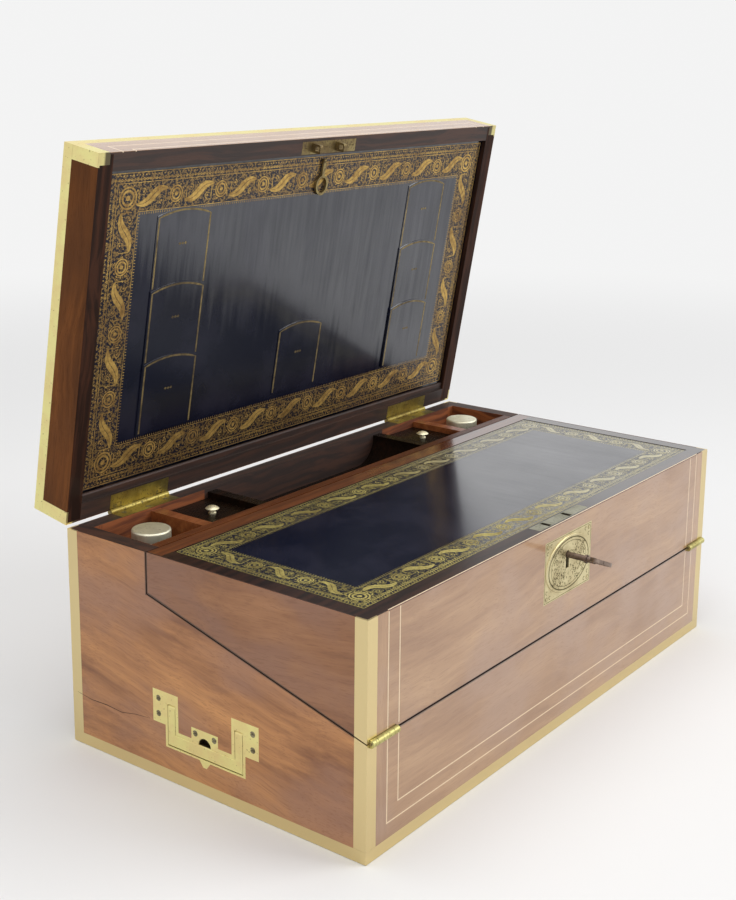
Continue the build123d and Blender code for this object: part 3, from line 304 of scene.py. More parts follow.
def frameWood():  # dark at the near end, redder along the tray, well polished at the far end
    look = frameLook
    paint = Paint("darkFrame")
    broad, streak, pore = grainOf(paint, paint.place, "X")
    figure = paint.colours(streak.above(0.5, 0.14), look["dark"], look["light"])
    back = paint.axis(paint.place, "Y").above(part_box("slope_leather")[1].y + clear, 2 * clear)
    redder = paint.colours(streak.above(0.5, 0.14), look["back"], look["backLight"])
    colour = paint.colours(back, figure, redder)
    sheenMask = (paint.axis(paint.place, "X") + broad * 0.04 - 0.02).above(*look["polished"])
    rough = 0.30 - sheenMask * 0.14 + pore * 0.04
    return paint.finish({"Base Color": colour, "Roughness": rough, "Specular IOR Level": 0.30,
                         "Coat Weight": sheenMask * 0.97 + 0.03, "Coat Roughness": 0.12})


stringLook = {
    "light": (0.86, 0.70, 0.48),
    "dark": (0.68, 0.51, 0.33),
    "arris": (0.14, 0.052, 0.030),
    "arrisDepth": 0.6 * mm,
    "roughness": 0.35,
}


def stringWood():
    paint = Paint("boxwoodStringing")
    broken = paint.noise(paint.scaled(paint.place, (260, 260, 260)), 3.0)
    colour = paint.colours(broken, stringLook["dark"], stringLook["light"])
    z = paint.axis(paint.place, "Z")
    topEdge = z.above(bodyTop - stringLook["arrisDepth"]) * (1 - z.above(bodyTop + rind))  # bare wood there
    colour = paint.colours(topEdge, colour, stringLook["arris"])
    return paint.finish({"Base Color": colour, "Roughness": stringLook["roughness"] + broken * 0.1,
                         "Coat Weight": 0.3, "Coat Roughness": 0.15})


brassLook = {
    "clean": (0.84, 0.77, 0.33),
    "dull": (0.80, 0.66, 0.30),
    "spot": (0.22, 0.15, 0.07),
    "roughness": 0.30,
    # recess: painted shade laid on brass set back from its face
    "recessShade": (0.045, 0.030, 0.016),
    "rim": (0.060, 0.040, 0.018),
    "corner": 6.0 * mm,
    "cornerSoft": 1.2 * mm,
}


def metal(name, clean, dull, spot, roughness, spotting=0.70, recessShade=None, streaks=0.0):
    paint = Paint(name)
    cloud = paint.noise(paint.scaled(paint.place, (60, 60, 60)), 4.0, 0.6)
    speck = paint.noise(paint.scaled(paint.place, (520, 520, 420)), 2.0, 0.5).above(spotting, 0.05)
    scratch = paint.noise(paint.scaled(paint.place, (1500, 1500, 130)), 2.0, 0.5)
    colour = paint.colours(cloud.above(0.52, 0.18), clean, dull)
    colour = paint.colours(scratch.above(0.58, 0.08) * streaks, colour, dull)
    colour = paint.colours(speck * 0.6, colour, spot)
    metallic = 1 - speck * 0.4
    if recessShade:  # painted shade further in than this along one axis: darker and less metallic
        letter, limit = recessShade
        deep = 1 - abs(paint.axis(paint.place, letter)).above(limit, rind)
        colour = paint.colours(deep, colour, brassLook["recessShade"])
        metallic = metallic * (1 - deep * 0.7)
    rough = roughness + cloud * 0.16 + speck * 0.2 + scratch * 0.08
    return paint.finish({"Base Color": colour, "Metallic": metallic, "Roughness": rough,
                         "Normal": paint.bump(scratch, 0.04, 0.3 * mm)})


def bindingBrass():  # the brass let into the rim of the lid is dark but for its outer corner
    look = brassLook
    paint = Paint("lidBrass")
    place = paint.shutPlace()
    cloud = paint.noise(paint.scaled(place, (60, 60, 60)), 4.0, 0.6)
    speck = paint.noise(paint.scaled(place, (520, 520, 420)), 2.0, 0.5).above(0.70, 0.05)
    colour = paint.colours(cloud.above(0.52, 0.18), look["clean"], look["dull"])
    colour = paint.colours(speck * 0.6, colour, look["spot"])
    onRim = 1 - paint.axis(place, "Z").above(shutBox("lid_front_board")[0].z + rind)
    inward = 1 - abs(paint.axis(place, "X")).above(bodyEnd - look["corner"], look["cornerSoft"])
    dark = onRim * (inward * 0.75 + 0.2)
    return paint.finish({"Base Color": paint.colours(dark, colour, look["rim"]), "Metallic": 1 - dark * 0.7,
                         "Roughness": look["roughness"] + cloud * 0.16})


leatherLook = {
    "deep": (0.0035, 0.0050, 0.0150),
    "worn": (0.010, 0.011, 0.024),
    "ground": (0.30, 0.185, 0.060),
    "slopeGround": (0.26, 0.215, 0.070),
    # line: a painted shadow along the edge of each leather, where it meets the rim or frame round it
    "line": (0.0015, 0.0014, 0.0015),
    "edgeShadeWidth": 1.2 * mm,
    "soft": 0.6 * mm,
    "roughness": 0.13,
    "specular": 0.18,
    "polish": 1.0,
    "fleck": 0.53,
}


def leathered(name, box, turn=None, band=None, ground=None, polished=None, matte=0.75, streaky=1.0):
    # turn: middle and angle; band: start and end of the gilt ground; polished: slant, limit and softness
    look = leatherLook
    paint = Paint(name)
    place = paint.turnedPlace(*turn) if turn else paint.place
    low, high = box
    grain = paint.noise(paint.scaled(place, (1300, 700, 900)), 3.0, 0.6)
    pebble = paint.noise(paint.scaled(place, (160, 90, 120)), 3.0, 0.55)
    wear = paint.noise(paint.scaled(place, (22, 22, 22)), 4.0, 0.6)
    colour = paint.colours(wear.above(0.55, 0.12), look["deep"], look["worn"])
    rough = look["roughness"] + wear * 0.06 + grain * 0.04
    x = paint.axis(place, "X")
    y = paint.axis(place, "Y")
    fromEdge = (high.x - abs(x)).least((y - low.y).least(high.y - y))
    coat = wear * 0.2 + 0.2
    if polished:
        slant, limit, soft = polished
        strokes = paint.noise(paint.scaled(place, (190, 10, 60)), 3.0, 0.65) - 0.5
        clouds = paint.noise(paint.scaled(place, (14, 9, 12)), 3.0, 0.6) - 0.5
        sheenMask = 1 - (y + x * slant + strokes * 0.10 * streaky + clouds * 0.06).above(limit, soft)
        coat = sheenMask * (look["polish"] + strokes * 1.1 * streaky + clouds * 0.9) + 0.03
    inputs = {}
    if band:
        inBand = fromEdge.above(band[0], look["soft"]) * (1 - fromEdge.above(band[1], look["soft"]))
        fleck = paint.noise(paint.scaled(place, (430, 430, 430)), 3.0, 0.65).above(look["fleck"], 0.05)
        gilt = inBand * fleck * 0.8
        colour = paint.colours(gilt, colour, ground)
        rough = rough + inBand * 0.2
        coat = (1 - inBand * matte) * coat
        inputs["Metallic"] = gilt * 0.6
    # a painted shadow line along the edge of the leather
    colour = paint.colours(1 - fromEdge.above(look["edgeShadeWidth"], look["soft"]), colour, look["line"])
    inputs |= {"Base Color": colour, "Roughness": rough, "Specular IOR Level": look["specular"],
               "Coat Weight": coat, "Coat IOR": 1.58, "Coat Roughness": 0.12,
               "Normal": paint.bump(grain * 0.3 + pebble, 0.05, 0.6 * mm)}
    return paint.finish(inputs)


# a pale flat gold for the gilt under polish: a painted reflection
giltPaintedReflection = (0.50, 0.46, 0.30)


def gilded(name, bright, worn, metallic=0.75, roughness=0.42, polished=None):
    paint = Paint(name)
    rub = paint.noise(paint.scaled(paint.place, (260, 260, 260)), 4.0, 0.65)
    patch = paint.noise(paint.scaled(paint.place, (28, 28, 28)), 3.0, 0.5)
    colour = paint.colours((rub * 0.5 + patch * 0.5).above(0.50, 0.14), bright, worn)
    inputs = {"Base Color": colour, "Metallic": metallic, "Roughness": roughness + rub * 0.2}
    if polished:  # the same polish as on the leather round it, and the gilt paled there: a painted reflection
        sheenMask = paint.axis(paint.place, "X").above(*polished)
        inputs |= {"Coat Weight": sheenMask, "Coat Roughness": 0.12,
                   "Base Color": paint.colours(sheenMask * 0.75, colour, giltPaintedReflection),
                   "Metallic": metallic - sheenMask * 0.45}
    return paint.finish(inputs)


def clearGlass():
    paint = Paint("inkwellGlass")
    cloud = paint.noise(paint.scaled(paint.place, (60, 60, 60)), 3.0)
    colour = paint.colours(cloud, (0.80, 0.90, 0.86), (0.90, 0.95, 0.93))
    return paint.finish({"Base Color": colour, "Roughness": 0.04 + cloud * 0.05, "Transmission Weight": 1.0,
                         "IOR": 1.5})


# ---- gilt tooling and engraving: flat shapes gathered on a sheet, then pressed into one thin piece
class Tooling:
    def __init__(self):
        self.corners = []
        self.faces = []

    def patch(self, points):
        start = len(self.corners)
        self.corners += points
        self.faces.append(range(start, start + len(points)))

    def dot(self, middle, radius, sides=6, turn=0.0):
        x, y = middle
        steps = [turn + math.tau * k / sides for k in range(sides)]
        self.patch([(x + radius * math.cos(a), y + radius * math.sin(a)) for a in steps])

    def ring(self, middle, radius, width, sides=24):
        x, y = middle
        path = [(x + radius * math.cos(math.tau * k / sides), y + radius * math.sin(math.tau * k / sides))
                for k in range(sides + 1)]
        self.stroke(path, [width] * (sides + 1))

    def stroke(self, path, widths, shift=0.0):  # a line of changing width along a path
        start = len(self.corners)
        for k, (x, y) in enumerate(path):
            before, after = path[max(k - 1, 0)], path[min(k + 1, len(path) - 1)]
            run = Vector((after[0] - before[0], after[1] - before[1])).normalized()
            side = Vector((-run.y, run.x))
            for half in (shift - 0.5, shift + 0.5):
                self.corners.append((x + side.x * widths[k] * half, y + side.y * widths[k] * half))
        for k in range(len(path) - 1):
            a = start + 2 * k
            self.faces.append((a, a + 2, a + 3, a + 1))

    def piece(self, name, place, thickness, material, body, slot):
        made = bmesh.new()
        corners = [made.verts.new((x, y, 0)) for x, y in self.corners]
        for face in self.faces:
            made.faces.new([corners[k] for k in face])
        raised = bmesh.ops.extrude_face_region(made, geom=made.faces[:], use_keep_orig=True)["geom"]
        lifted = [part for part in raised if isinstance(part, bmesh.types.BMVert)]
        bmesh.ops.translate(made, verts=lifted, vec=(0, 0, thickness))
        bmesh.ops.recalc_face_normals(made, faces=made.faces[:])
        mesh = bpy.data.meshes.new(name)
        made.to_mesh(mesh)
        made.free()
        mesh.transform(place)
        if place.determinant() < 0:
            mesh.flip_normals()
        mesh.materials.append(material)
        piece = bpy.data.objects.new(name, mesh)
        bpy.context.scene.collection.objects.link(piece)
        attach(piece, body)
        return piece


def sCurve(start, end, bulge, steps=14):  # an S from start to end, swinging out by bulge to each side
    a, b = Vector(start), Vector(end)
    side = Vector((a.y - b.y, b.x - a.x)).normalized()
    turns = [k / steps for k in range(steps + 1)]
    return [tuple(a.lerp(b, turn) + side * bulge * math.sin(math.tau * turn)) for turn in turns]


def arcPath(middle, radius, start, turn, steps=12):
    angles = [math.radians(start + turn * k / steps) for k in range(steps + 1)]
    return [(middle[0] + radius * math.cos(a), middle[1] + radius * math.sin(a)) for a in angles]


def leafOf(tool, path, width):  # two half blades with a hair line between them
    last = len(path) - 1
    swell = [width * math.sin(math.pi * (0.04 + 0.92 * k / last)) ** 0.8 for k in range(last + 1)]
    halves = [w * 0.46 for w in swell]
    tool.stroke(path, halves, 0.58)
    tool.stroke(path, halves, -0.58)


class Side:  # one side of a border: points along it, and in from its outer edge
    def __init__(self, corner, run, inward, length):
        self.corner = Vector(corner)
        self.run = Vector(run)
        self.inward = Vector(inward)
        self.length = length
        self.heading = math.degrees(math.atan2(self.run.y, self.run.x))

    def at(self, along, inside):
        point = self.corner + self.run * along + self.inward * inside
        return (point.x, point.y)


def sidesOf(low, high):
    wide, deep = high[0] - low[0], high[1] - low[1]
    return [
        Side((low[0], low[1]), (1, 0), (0, 1), wide),
        Side((high[0], low[1]), (0, 1), (-1, 0), deep),
        Side((high[0], high[1]), (-1, 0), (0, -1), wide),
        Side((low[0], high[1]), (0, -1), (1, 0), deep),
    ]


def frameLine(tool, low, high, inset, width):  # a plain line round a border
    for side in sidesOf(low, high):
        ends = (inset - width / 2, side.length - inset + width / 2)
        tool.stroke([side.at(ends[0], inset), side.at(ends[1], inset)], [width, width])


def roundel(tool, middle, radius):
    tool.ring(middle, radius, radius * 0.16)
    tool.ring(middle, radius * 0.66, radius * 0.20)
    tool.dot(middle, radius * 0.26, 10)
    for k in range(12):
        angle = math.tau * k / 12
        tool.dot((middle[0] + radius * 1.28 * math.cos(angle), middle[1] + radius * 1.28 * math.sin(angle)),
                 radius * 0.10, 5)


def border(tool, low, high, look, seed):
    draw = random.Random(seed)
    middle = look["lace"] + (look["width"] - look["lace"]) / 2
    for side in sidesOf(low, high):
        count = max(2, round((side.length - 2 * middle) / look["unit"]))
        pitch = (side.length - 2 * middle) / count
        for k in range(count):
            start = middle + k * pitch
            reach = look["leaf"] / 2
            centre = start + pitch / 2
            lift = look["swing"]
            ends = side.at(centre - reach, middle + lift), side.at(centre + reach, middle - lift)
            leafOf(tool, sCurve(*ends, look["bend"]), look["blade"])
            for end, turn in ((-1, 1), (1, -1)):  # a curl and berries beside each end of the leaf
                curl = side.at(centre + end * reach * 0.62, middle + turn * -lift * 0.72)
                heading = side.heading + (90 if end > 0 else 270)
                widths = [look["hair"] * (1.6 - 0.1 * step) for step in range(13)]
                tool.stroke(arcPath(curl, look["curl"], heading, 230), widths)
                tool.dot(curl, look["curl"] * 0.34, 6)
                barPlace = centre + end * (pitch / 2 - look["boss"] * 1.75)
                bar = [side.at(barPlace, middle + half * look["boss"] * 0.8) for half in (-1, 1)]
                tool.stroke(bar, [look["hair"] * 1.3] * 2)
            if k:
                roundel(tool, side.at(start, middle), look["boss"])
        roundel(tool, side.at(middle, middle), look["boss"] * 1.3)
        laceCount = round((side.length - look["lace"]) / look["lacePitch"])
        for k in range(laceCount):  # scalloped lace along the outer edge
            along = look["lace"] / 2 + (k + 0.5) * (side.length - look["lace"]) / laceCount
            scallop = side.at(along, look["lace"] * 0.62)
            loop = arcPath(scallop, look["lacePitch"] * 0.40, side.heading + 10, 160, 5)
            tool.stroke(loop, [look["hair"] * 1.2] * 6)
            tool.dot(scallop, look["hair"] * 1.2, 5)
            tool.dot(side.at(along + look["lacePitch"] / 2, look["lace"] * 0.30), look["hair"] * 1.4, 4, 0.78)
        flecks = round(side.length * (look["width"] - look["lace"]) * look["fleckDensity"])
        for k in range(flecks):  # stippled ground
            along = draw.uniform(look["lace"], side.length - look["lace"])
            inside = draw.uniform(look["lace"], look["width"] - look["hair"] * 2)
            if min(along, side.length - along) > inside:
                size = look["hair"] * draw.uniform(0.45, 0.95)
                tool.dot(side.at(along, inside), size, 4, draw.uniform(0, 1.5))
    frameLine(tool, low, high, look["hair"], look["hair"])
    frameLine(tool, low, high, look["lace"], look["hair"])
    frameLine(tool, low, high, look["width"], look["hair"])
    teeth = look["width"] + look["hair"] * 2.2
    for side in sidesOf(low, high):  # toothed line along the inner edge
        count = round((side.length - 2 * teeth) / look["toothPitch"])
        for k in range(count):
            along = teeth + (k + 0.5) * (side.length - 2 * teeth) / count
            tool.patch([side.at(along - look["hair"], teeth), side.at(along + look["hair"], teeth),
                        side.at(along, teeth + look["tooth"])])


print("tools ready")

# ---- camera
cameraLook = {
    "azimuth": -52.9447,
    "elevation": 12.3128,
    "roll": 0.0101687,
    "distance": 1.20457,
    "target": (0.00984, 0.05445, 0.27065),
    "lens": 57.174,
    "shift": (-0.00693, -0.10244),
}


def makeCamera():
    look = cameraLook
    around, up = math.radians(look["azimuth"]), math.radians(look["elevation"])
    back = Vector((math.sin(around) * math.cos(up), -math.cos(around) * math.cos(up), math.sin(up)))
    data = bpy.data.cameras.new("camera")
    data.lens = look["lens"]
    data.shift_x, data.shift_y = look["shift"]
    camera = bpy.data.objects.new("camera", data)
    bpy.context.scene.collection.objects.link(camera)
    camera.location = Vector(look["target"]) + back * look["distance"]
    aimed = back.to_track_quat("Z", "Y").to_matrix()
    camera.rotation_euler = (aimed @ Matrix.Rotation(look["roll"], 3, "Z")).to_euler()
    bpy.context.scene.camera = camera


# ---- floor and light
studioLook = {
    "floor": (0.80, 0.80, 0.80),
    "mottle": (0.70, 0.70, 0.70),
    "floorSize": 9.0,
    "floorDrop": 0.3 * mm,
    "floorEnd": (1.5, 0.9),
    "aim": (0, 0, 0.2),
    "background": (0.90, 0.90, 0.90),
    "worldLight": 0.50,
    "keyPlace": (1.5, -2.2, 1.7),
    "keySize": 1.8,
    "keyPower": 42,
    "topPlace": (-0.2, 0.1, 2.4),
    "topSize": 2.2,
    "topPower": 34,
    "fillPlace": (-2.4, -0.9, 1.1),
    "fillSize": 1.8,
    "fillPower": 12,
}
rayKinds = ("Camera", "Glossy", "Transmission")


def lamp(name, place, aim, size, power):
    data = bpy.data.lights.new(name, "AREA")
    data.size = size
    data.energy = power
    light = bpy.data.objects.new(name, data)
    bpy.context.scene.collection.objects.link(light)
    light.location = place
    light.rotation_euler = (Vector(place) - Vector(aim)).to_track_quat("Z", "Y").to_euler()


def directRay(paint):  # 1 on rays from the camera and on those that mirror it or pass through glass
    rays = [paint.node("ShaderNodeLightPath", out=f"Is {kind} Ray") for kind in rayKinds]
    return rays[0].most(rays[1]).most(rays[2])


def makeFloor():  # it fades into the background further out
    look = studioLook
    place = (0, 0, -look["floorDrop"])
    bpy.ops.mesh.primitive_circle_add(vertices=96, radius=look["floorSize"], fill_type="NGON", location=place)
    floor = bpy.context.object
    floor.name = "floor"
    paint = Paint("paleFloor")
    mottle = paint.noise(paint.scaled(paint.place, (3, 3, 3)), 3.0)
    away = paint.node("ShaderNodeVectorMath", {"operation": "LENGTH"}, {0: paint.place}, out="Value")
    colour = paint.colours(mottle * 0.06, look["floor"], look["mottle"])
    matte = paint.node("ShaderNodeBsdfPrincipled", inputs={"Base Color": colour, "Roughness": 0.85})
    glow = paint.node("ShaderNodeEmission", inputs={"Color": look["background"], "Strength": 1.0})
    seen = directRay(paint) * away.above(*look["floorEnd"])
    mixed = paint.node("ShaderNodeMixShader", inputs={0: seen, 1: matte, 2: glow})
    paint.node("ShaderNodeOutputMaterial", inputs={"Surface": mixed})
    floor.data.materials.append(paint.owner)


def makeSky():
    look = studioLook
    world = bpy.data.worlds.new("paleRoom")
    bpy.context.scene.world = world
    paint = Paint("paleRoom", world)
    strength = directRay(paint) * (1.0 - look["worldLight"]) + look["worldLight"]
    shade = paint.node("ShaderNodeBackground", inputs={"Color": look["background"], "Strength": strength})
    paint.node("ShaderNodeOutputWorld", inputs={"Surface": shade})


makeCamera()
makeFloor()
makeSky()
for name in ("key", "top", "fill"):
    place, size, power = (studioLook[name + part] for part in ("Place", "Size", "Power"))
    lamp(name, place, studioLook["aim"], size, power)
bpy.context.scene.view_settings.view_transform = "Standard"
print("camera and studio ready")

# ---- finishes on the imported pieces
bandingWidth = 22.5 * mm  # crossbanding at the ends of the front
veneered("frontVeneer", "X", woodLook["front"], slant=0.03, banded=bodyEnd - bandingWidth)
veneered("sideVeneer", "Y", woodLook["side"], slant=-0.12)
veneered("slopeSideVeneer", "Y", woodLook["slopeSide"], slant=0.06)
veneered("lidVeneer", "X", woodLook["front"], turned=True, slant=0.02)
# the lid's sides carry painted shade: darker than the body's sides
veneered("shadedLidSideVeneer", "Y", woodLook["shadedLidSide"], turned=True)
frameWood()
stringWood()
clearGlass()
solidWood("trayWood", "X", [(0.11, 0.028, 0.008), (0.25, 0.074, 0.023), (0.38, 0.13, 0.042)], 0.30, 0.15,
          specular=0.25)
# near-black pen tray, tray floor and compartment covers: dark wood with painted shade
solidWood("darkWoodAndShade", "X", [(0.004, 0.002, 0.001), (0.009, 0.005, 0.003), (0.020, 0.008, 0.004)], 0.26, 0.02,
          specular=0.06)
solidWood("wallWood", "X", [(0.045, 0.012, 0.004), (0.11, 0.030, 0.009), (0.17, 0.050, 0.015)], 0.34, 0.04,
          specular=0.15)
solidWood("plainWood", "X", [(0.10, 0.045, 0.022), (0.20, 0.10, 0.05), (0.30, 0.165, 0.085)], 0.55, 0.0)
newBrass = [brassLook[key] for key in ("clean", "dull", "spot", "roughness")]
metal("brass", *newBrass, streaks=0.5)
metal("handleBrass", *newBrass, recessShade=("X", bodyEnd - 1.2 * mm))
bindingBrass()
metal("plateBrass", (0.68, 0.60, 0.36), (0.52, 0.44, 0.25), (0.20, 0.16, 0.08), 0.36, 0.68,
      recessShade=("Y", -bodyFront - 0.5 * mm))
metal("hingeBrass", (0.38, 0.31, 0.09), (0.22, 0.16, 0.045), (0.07, 0.045, 0.02), 0.30, 0.62)
metal("foldBrass", (0.58, 0.54, 0.22), (0.38, 0.33, 0.12), (0.14, 0.10, 0.05), 0.34, 0.64)
metal("agedBrass", (0.34, 0.27, 0.12), (0.17, 0.12, 0.055), (0.06, 0.035, 0.02), 0.34, 0.60)
metal("screwBrass", (0.46, 0.38, 0.14), (0.24, 0.18, 0.06), (0.08, 0.05, 0.02), 0.24, 0.66)
metal("capBrass", (0.80, 0.78, 0.62), (0.64, 0.60, 0.44), (0.22, 0.17, 0.10), 0.42, 0.70)
metal("lockBrass", (0.40, 0.39, 0.30), (0.28, 0.27, 0.20), (0.08, 0.07, 0.05), 0.34, 0.64,
      recessShade=("Z", bodyTop - 0.5 * mm))
metal("knobBrass", (0.95, 0.90, 0.68), (0.82, 0.74, 0.50), (0.30, 0.22, 0.12), 0.38, 0.72)
metal("keySteel", (0.26, 0.20, 0.165), (0.14, 0.10, 0.08), (0.05, 0.03, 0.02), 0.36, 0.60)
metal("screwMetal", (0.30, 0.27, 0.17), (0.17, 0.14, 0.085), (0.05, 0.035, 0.02), 0.40, 0.60)
walletBox = shutBox("wallet_leather")
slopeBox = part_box("slope_leather")
leafBox = turnedBox("base_leaf_leather", slant_)
slopeLeafBox = turnedBox("slope_leaf_leather", slant_)
lidTurn = (hingePlace, shutTurn)
leafTurn = (foldPlace, -cutTurn)
walletBand = (2.0 * mm, 32.0 * mm)  # from the edge of the leather
slopeBand = (0.5 * mm, 26.0 * mm)
walletPolish = (-0.45, 0.025, 0.032)
slopePolish = (-1.0, -0.03, 0.05)
slopeGround = leatherLook["slopeGround"]
leathered("walletLeather", walletBox, lidTurn, walletBand, leatherLook["ground"], walletPolish)
leathered("slopeLeather", slopeBox, None, slopeBand, slopeGround, slopePolish, matte=0.15, streaky=0.25)
leathered("baseLeafLeather", leafBox, leafTurn, slopeBand, slopeGround)
leathered("slopeLeafLeather", slopeLeafBox, leafTurn, slopeBand, slopeGround)
pocketHide = leathered("pocketLeather", walletBox, lidTurn, polished=walletPolish)

finishes = {
    "frontVeneer": ["front_board", "back_board", "slope_front_board"],
    "sideVeneer": ["left_side_board", "right_side_board"],
    "slopeSideVeneer": ["slope_left_side", "slope_right_side"],
    "lidVeneer": ["lid_top_board", "lid_front_board", "lid_back_board"],
    "shadedLidSideVeneer": ["lid_left_board", "lid_right_board"],
    "darkFrame": ["slope_top_frame"],
    "trayWood": ["tray_dividers", "slope_back_board"],
    "darkWoodAndShade": ["pen_tray", "tray_floor", "compartment_cover_left", "compartment_cover_right"],
    "wallWood": ["tray_front_wall"],
    "plainWood": ["bottom_board", "base_leaf", "slope_leaf", "slope_top_panel", "wallet_panel"],
    "brass": ["base_bindings", "slope_bindings"],
    "handleBrass": ["left_handle_plate", "right_handle_plate", "left_bail", "right_bail"],
    "lidBrass": ["lid_bindings"],
    "plateBrass": ["escutcheon"],
    "foldBrass": ["fold_hinge_base_leaves", "fold_hinge_slope_leaves"],
    "hingeBrass": ["lid_hinge_base_leaves", "lid_hinge_lid_leaves"],
    "agedBrass": ["link_plate", "wallet_pull", "pull_post", "pivot_pins"],
    "screwBrass": ["lid_hinge_screws"],
    "knobBrass": ["cover_knob_left", "cover_knob_right"],
    "capBrass": ["inkwell_cap_left", "inkwell_cap_right"],
    "lockBrass": ["lock_case"],
    "keySteel": ["key", "lock_bolt"],
    "screwMetal": ["case_screws"],
    "boxwoodStringing": ["base_stringing", "slope_stringing", "lid_stringing"],
    "inkwellGlass": ["inkwell_left", "inkwell_right"],
    "walletLeather": ["wallet_leather"],
    "slopeLeather": ["slope_leather"],
    "baseLeafLeather": ["base_leaf_leather"],
    "slopeLeafLeather": ["slope_leaf_leather"],
    "pocketLeather": ["wallet_pockets"],
}
for finish, names in finishes.items():
    for name in names:
        nodes[name].data.materials.clear()
        nodes[name].data.materials.append(bpy.data.materials[finish])
unfinished = sorted(set(nodes) - {name for names in finishes.values() for name in names})
print("finishes laid on; pieces left over:", unfinished)

# ---- gilt tooling
walletGilt = gilded("walletGilt", (0.66, 0.44, 0.125), (0.26, 0.145, 0.045))
slopeGilt = gilded("slopeGilt", (0.62, 0.53, 0.17), (0.30, 0.23, 0.07), polished=(0.04, 0.07))
leafGilt = gilded("leafGilt", (0.62, 0.53, 0.17), (0.30, 0.23, 0.07))
walletBorder = {
    "margin": 2.0 * mm, "width": 30.0 * mm, "lace": 8.0 * mm, "lacePitch": 3.1 * mm, "unit": 50.0 * mm,
    "boss": 6.2 * mm, "leaf": 30.0 * mm, "blade": 7.4 * mm, "swing": 5.4 * mm, "bend": 2.0 * mm,
    "curl": 2.4 * mm, "hair": 0.45 * mm, "tooth": 1.6 * mm, "toothPitch": 2.3 * mm, "fleckDensity": 0.24e6,
}
slopeBorder = {
    "margin": 0.8 * mm, "width": 25.0 * mm, "lace": 6.0 * mm, "lacePitch": 2.8 * mm, "unit": 46.0 * mm,
    "boss": 5.4 * mm, "leaf": 26.0 * mm, "blade": 6.0 * mm, "swing": 4.4 * mm, "bend": 2.4 * mm,
    "curl": 2.3 * mm, "hair": 0.45 * mm, "tooth": 1.6 * mm, "toothPitch": 2.3 * mm, "fleckDensity": 0.15e6,
}
pocketGilt = gilded("pocketGilt", (0.30, 0.22, 0.085), (0.09, 0.062, 0.028), 0.5)
giltThickness = 0.06 * mm


def facing(height, down=False):  # places a flat drawing level at a height, face up or face down
    return Matrix.Translation((0, 0, height)) @ Matrix.Diagonal((1, 1, -1 if down else 1, 1))


def tooledBorder(name, low, high, look, place, material, body, seed):
    tool = Tooling()
    edge = look["margin"]
    border(tool, (low.x + edge, low.y + edge), (high.x - edge, high.y - edge), look, seed)
    tool.piece(name, place, giltThickness, material, body, "leather")


walletFace = raise_ @ facing(walletBox[0].z, True)
slopeFace = facing(slopeBox[1].z)
baseLeafFace = slant_ @ facing(leafBox[1].z)
slopeLeafFace = slant_ @ facing(slopeLeafBox[0].z, True)
tooledBorder("wallet_gilt_border", *walletBox, walletBorder, walletFace, walletGilt, "wallet", 11)
tooledBorder("slope_gilt_border", *slopeBox, slopeBorder, slopeFace, slopeGilt, "slope", 23)
tooledBorder("base_leaf_border", *leafBox, slopeBorder, baseLeafFace, leafGilt, "case", 31)
tooledBorder("slope_leaf_border", *slopeLeafBox, slopeBorder, slopeLeafFace, leafGilt, "slope", 37)
print("borders tooled")

# ---- pockets of the wallet
pocketLook = {
    "width": 58.0 * mm, "leather": 0.6 * mm, "arch": 4.8 * mm, "first": 37.0 * mm, "sideInset": 82.0 * mm,
    "bottomInset": 36.0 * mm, "middleInset": 39.0 * mm, "rows": 3, "gilt": 1.5 * mm, "giltInset": 1.7 * mm,
    "dash": 9.0 * mm, "dashHeight": 0.40, "dashWidth": 0.4 * mm, "arris": 0.22 * mm, "outset": 0.4 * mm,
}


def pocketShape(x, top, bottom, arch, inset=0.0, steps=14):  # up one side, over the arch, down the other
    half = pocketLook["width"] / 2 - inset
    mouth = [(x - half + 2 * half * k / steps, top + inset - arch * (1 - (2 * k / steps - 1) ** 2))
             for k in range(steps + 1)]
    return [(x - half, bottom - inset), *mouth, (x + half, bottom - inset)]


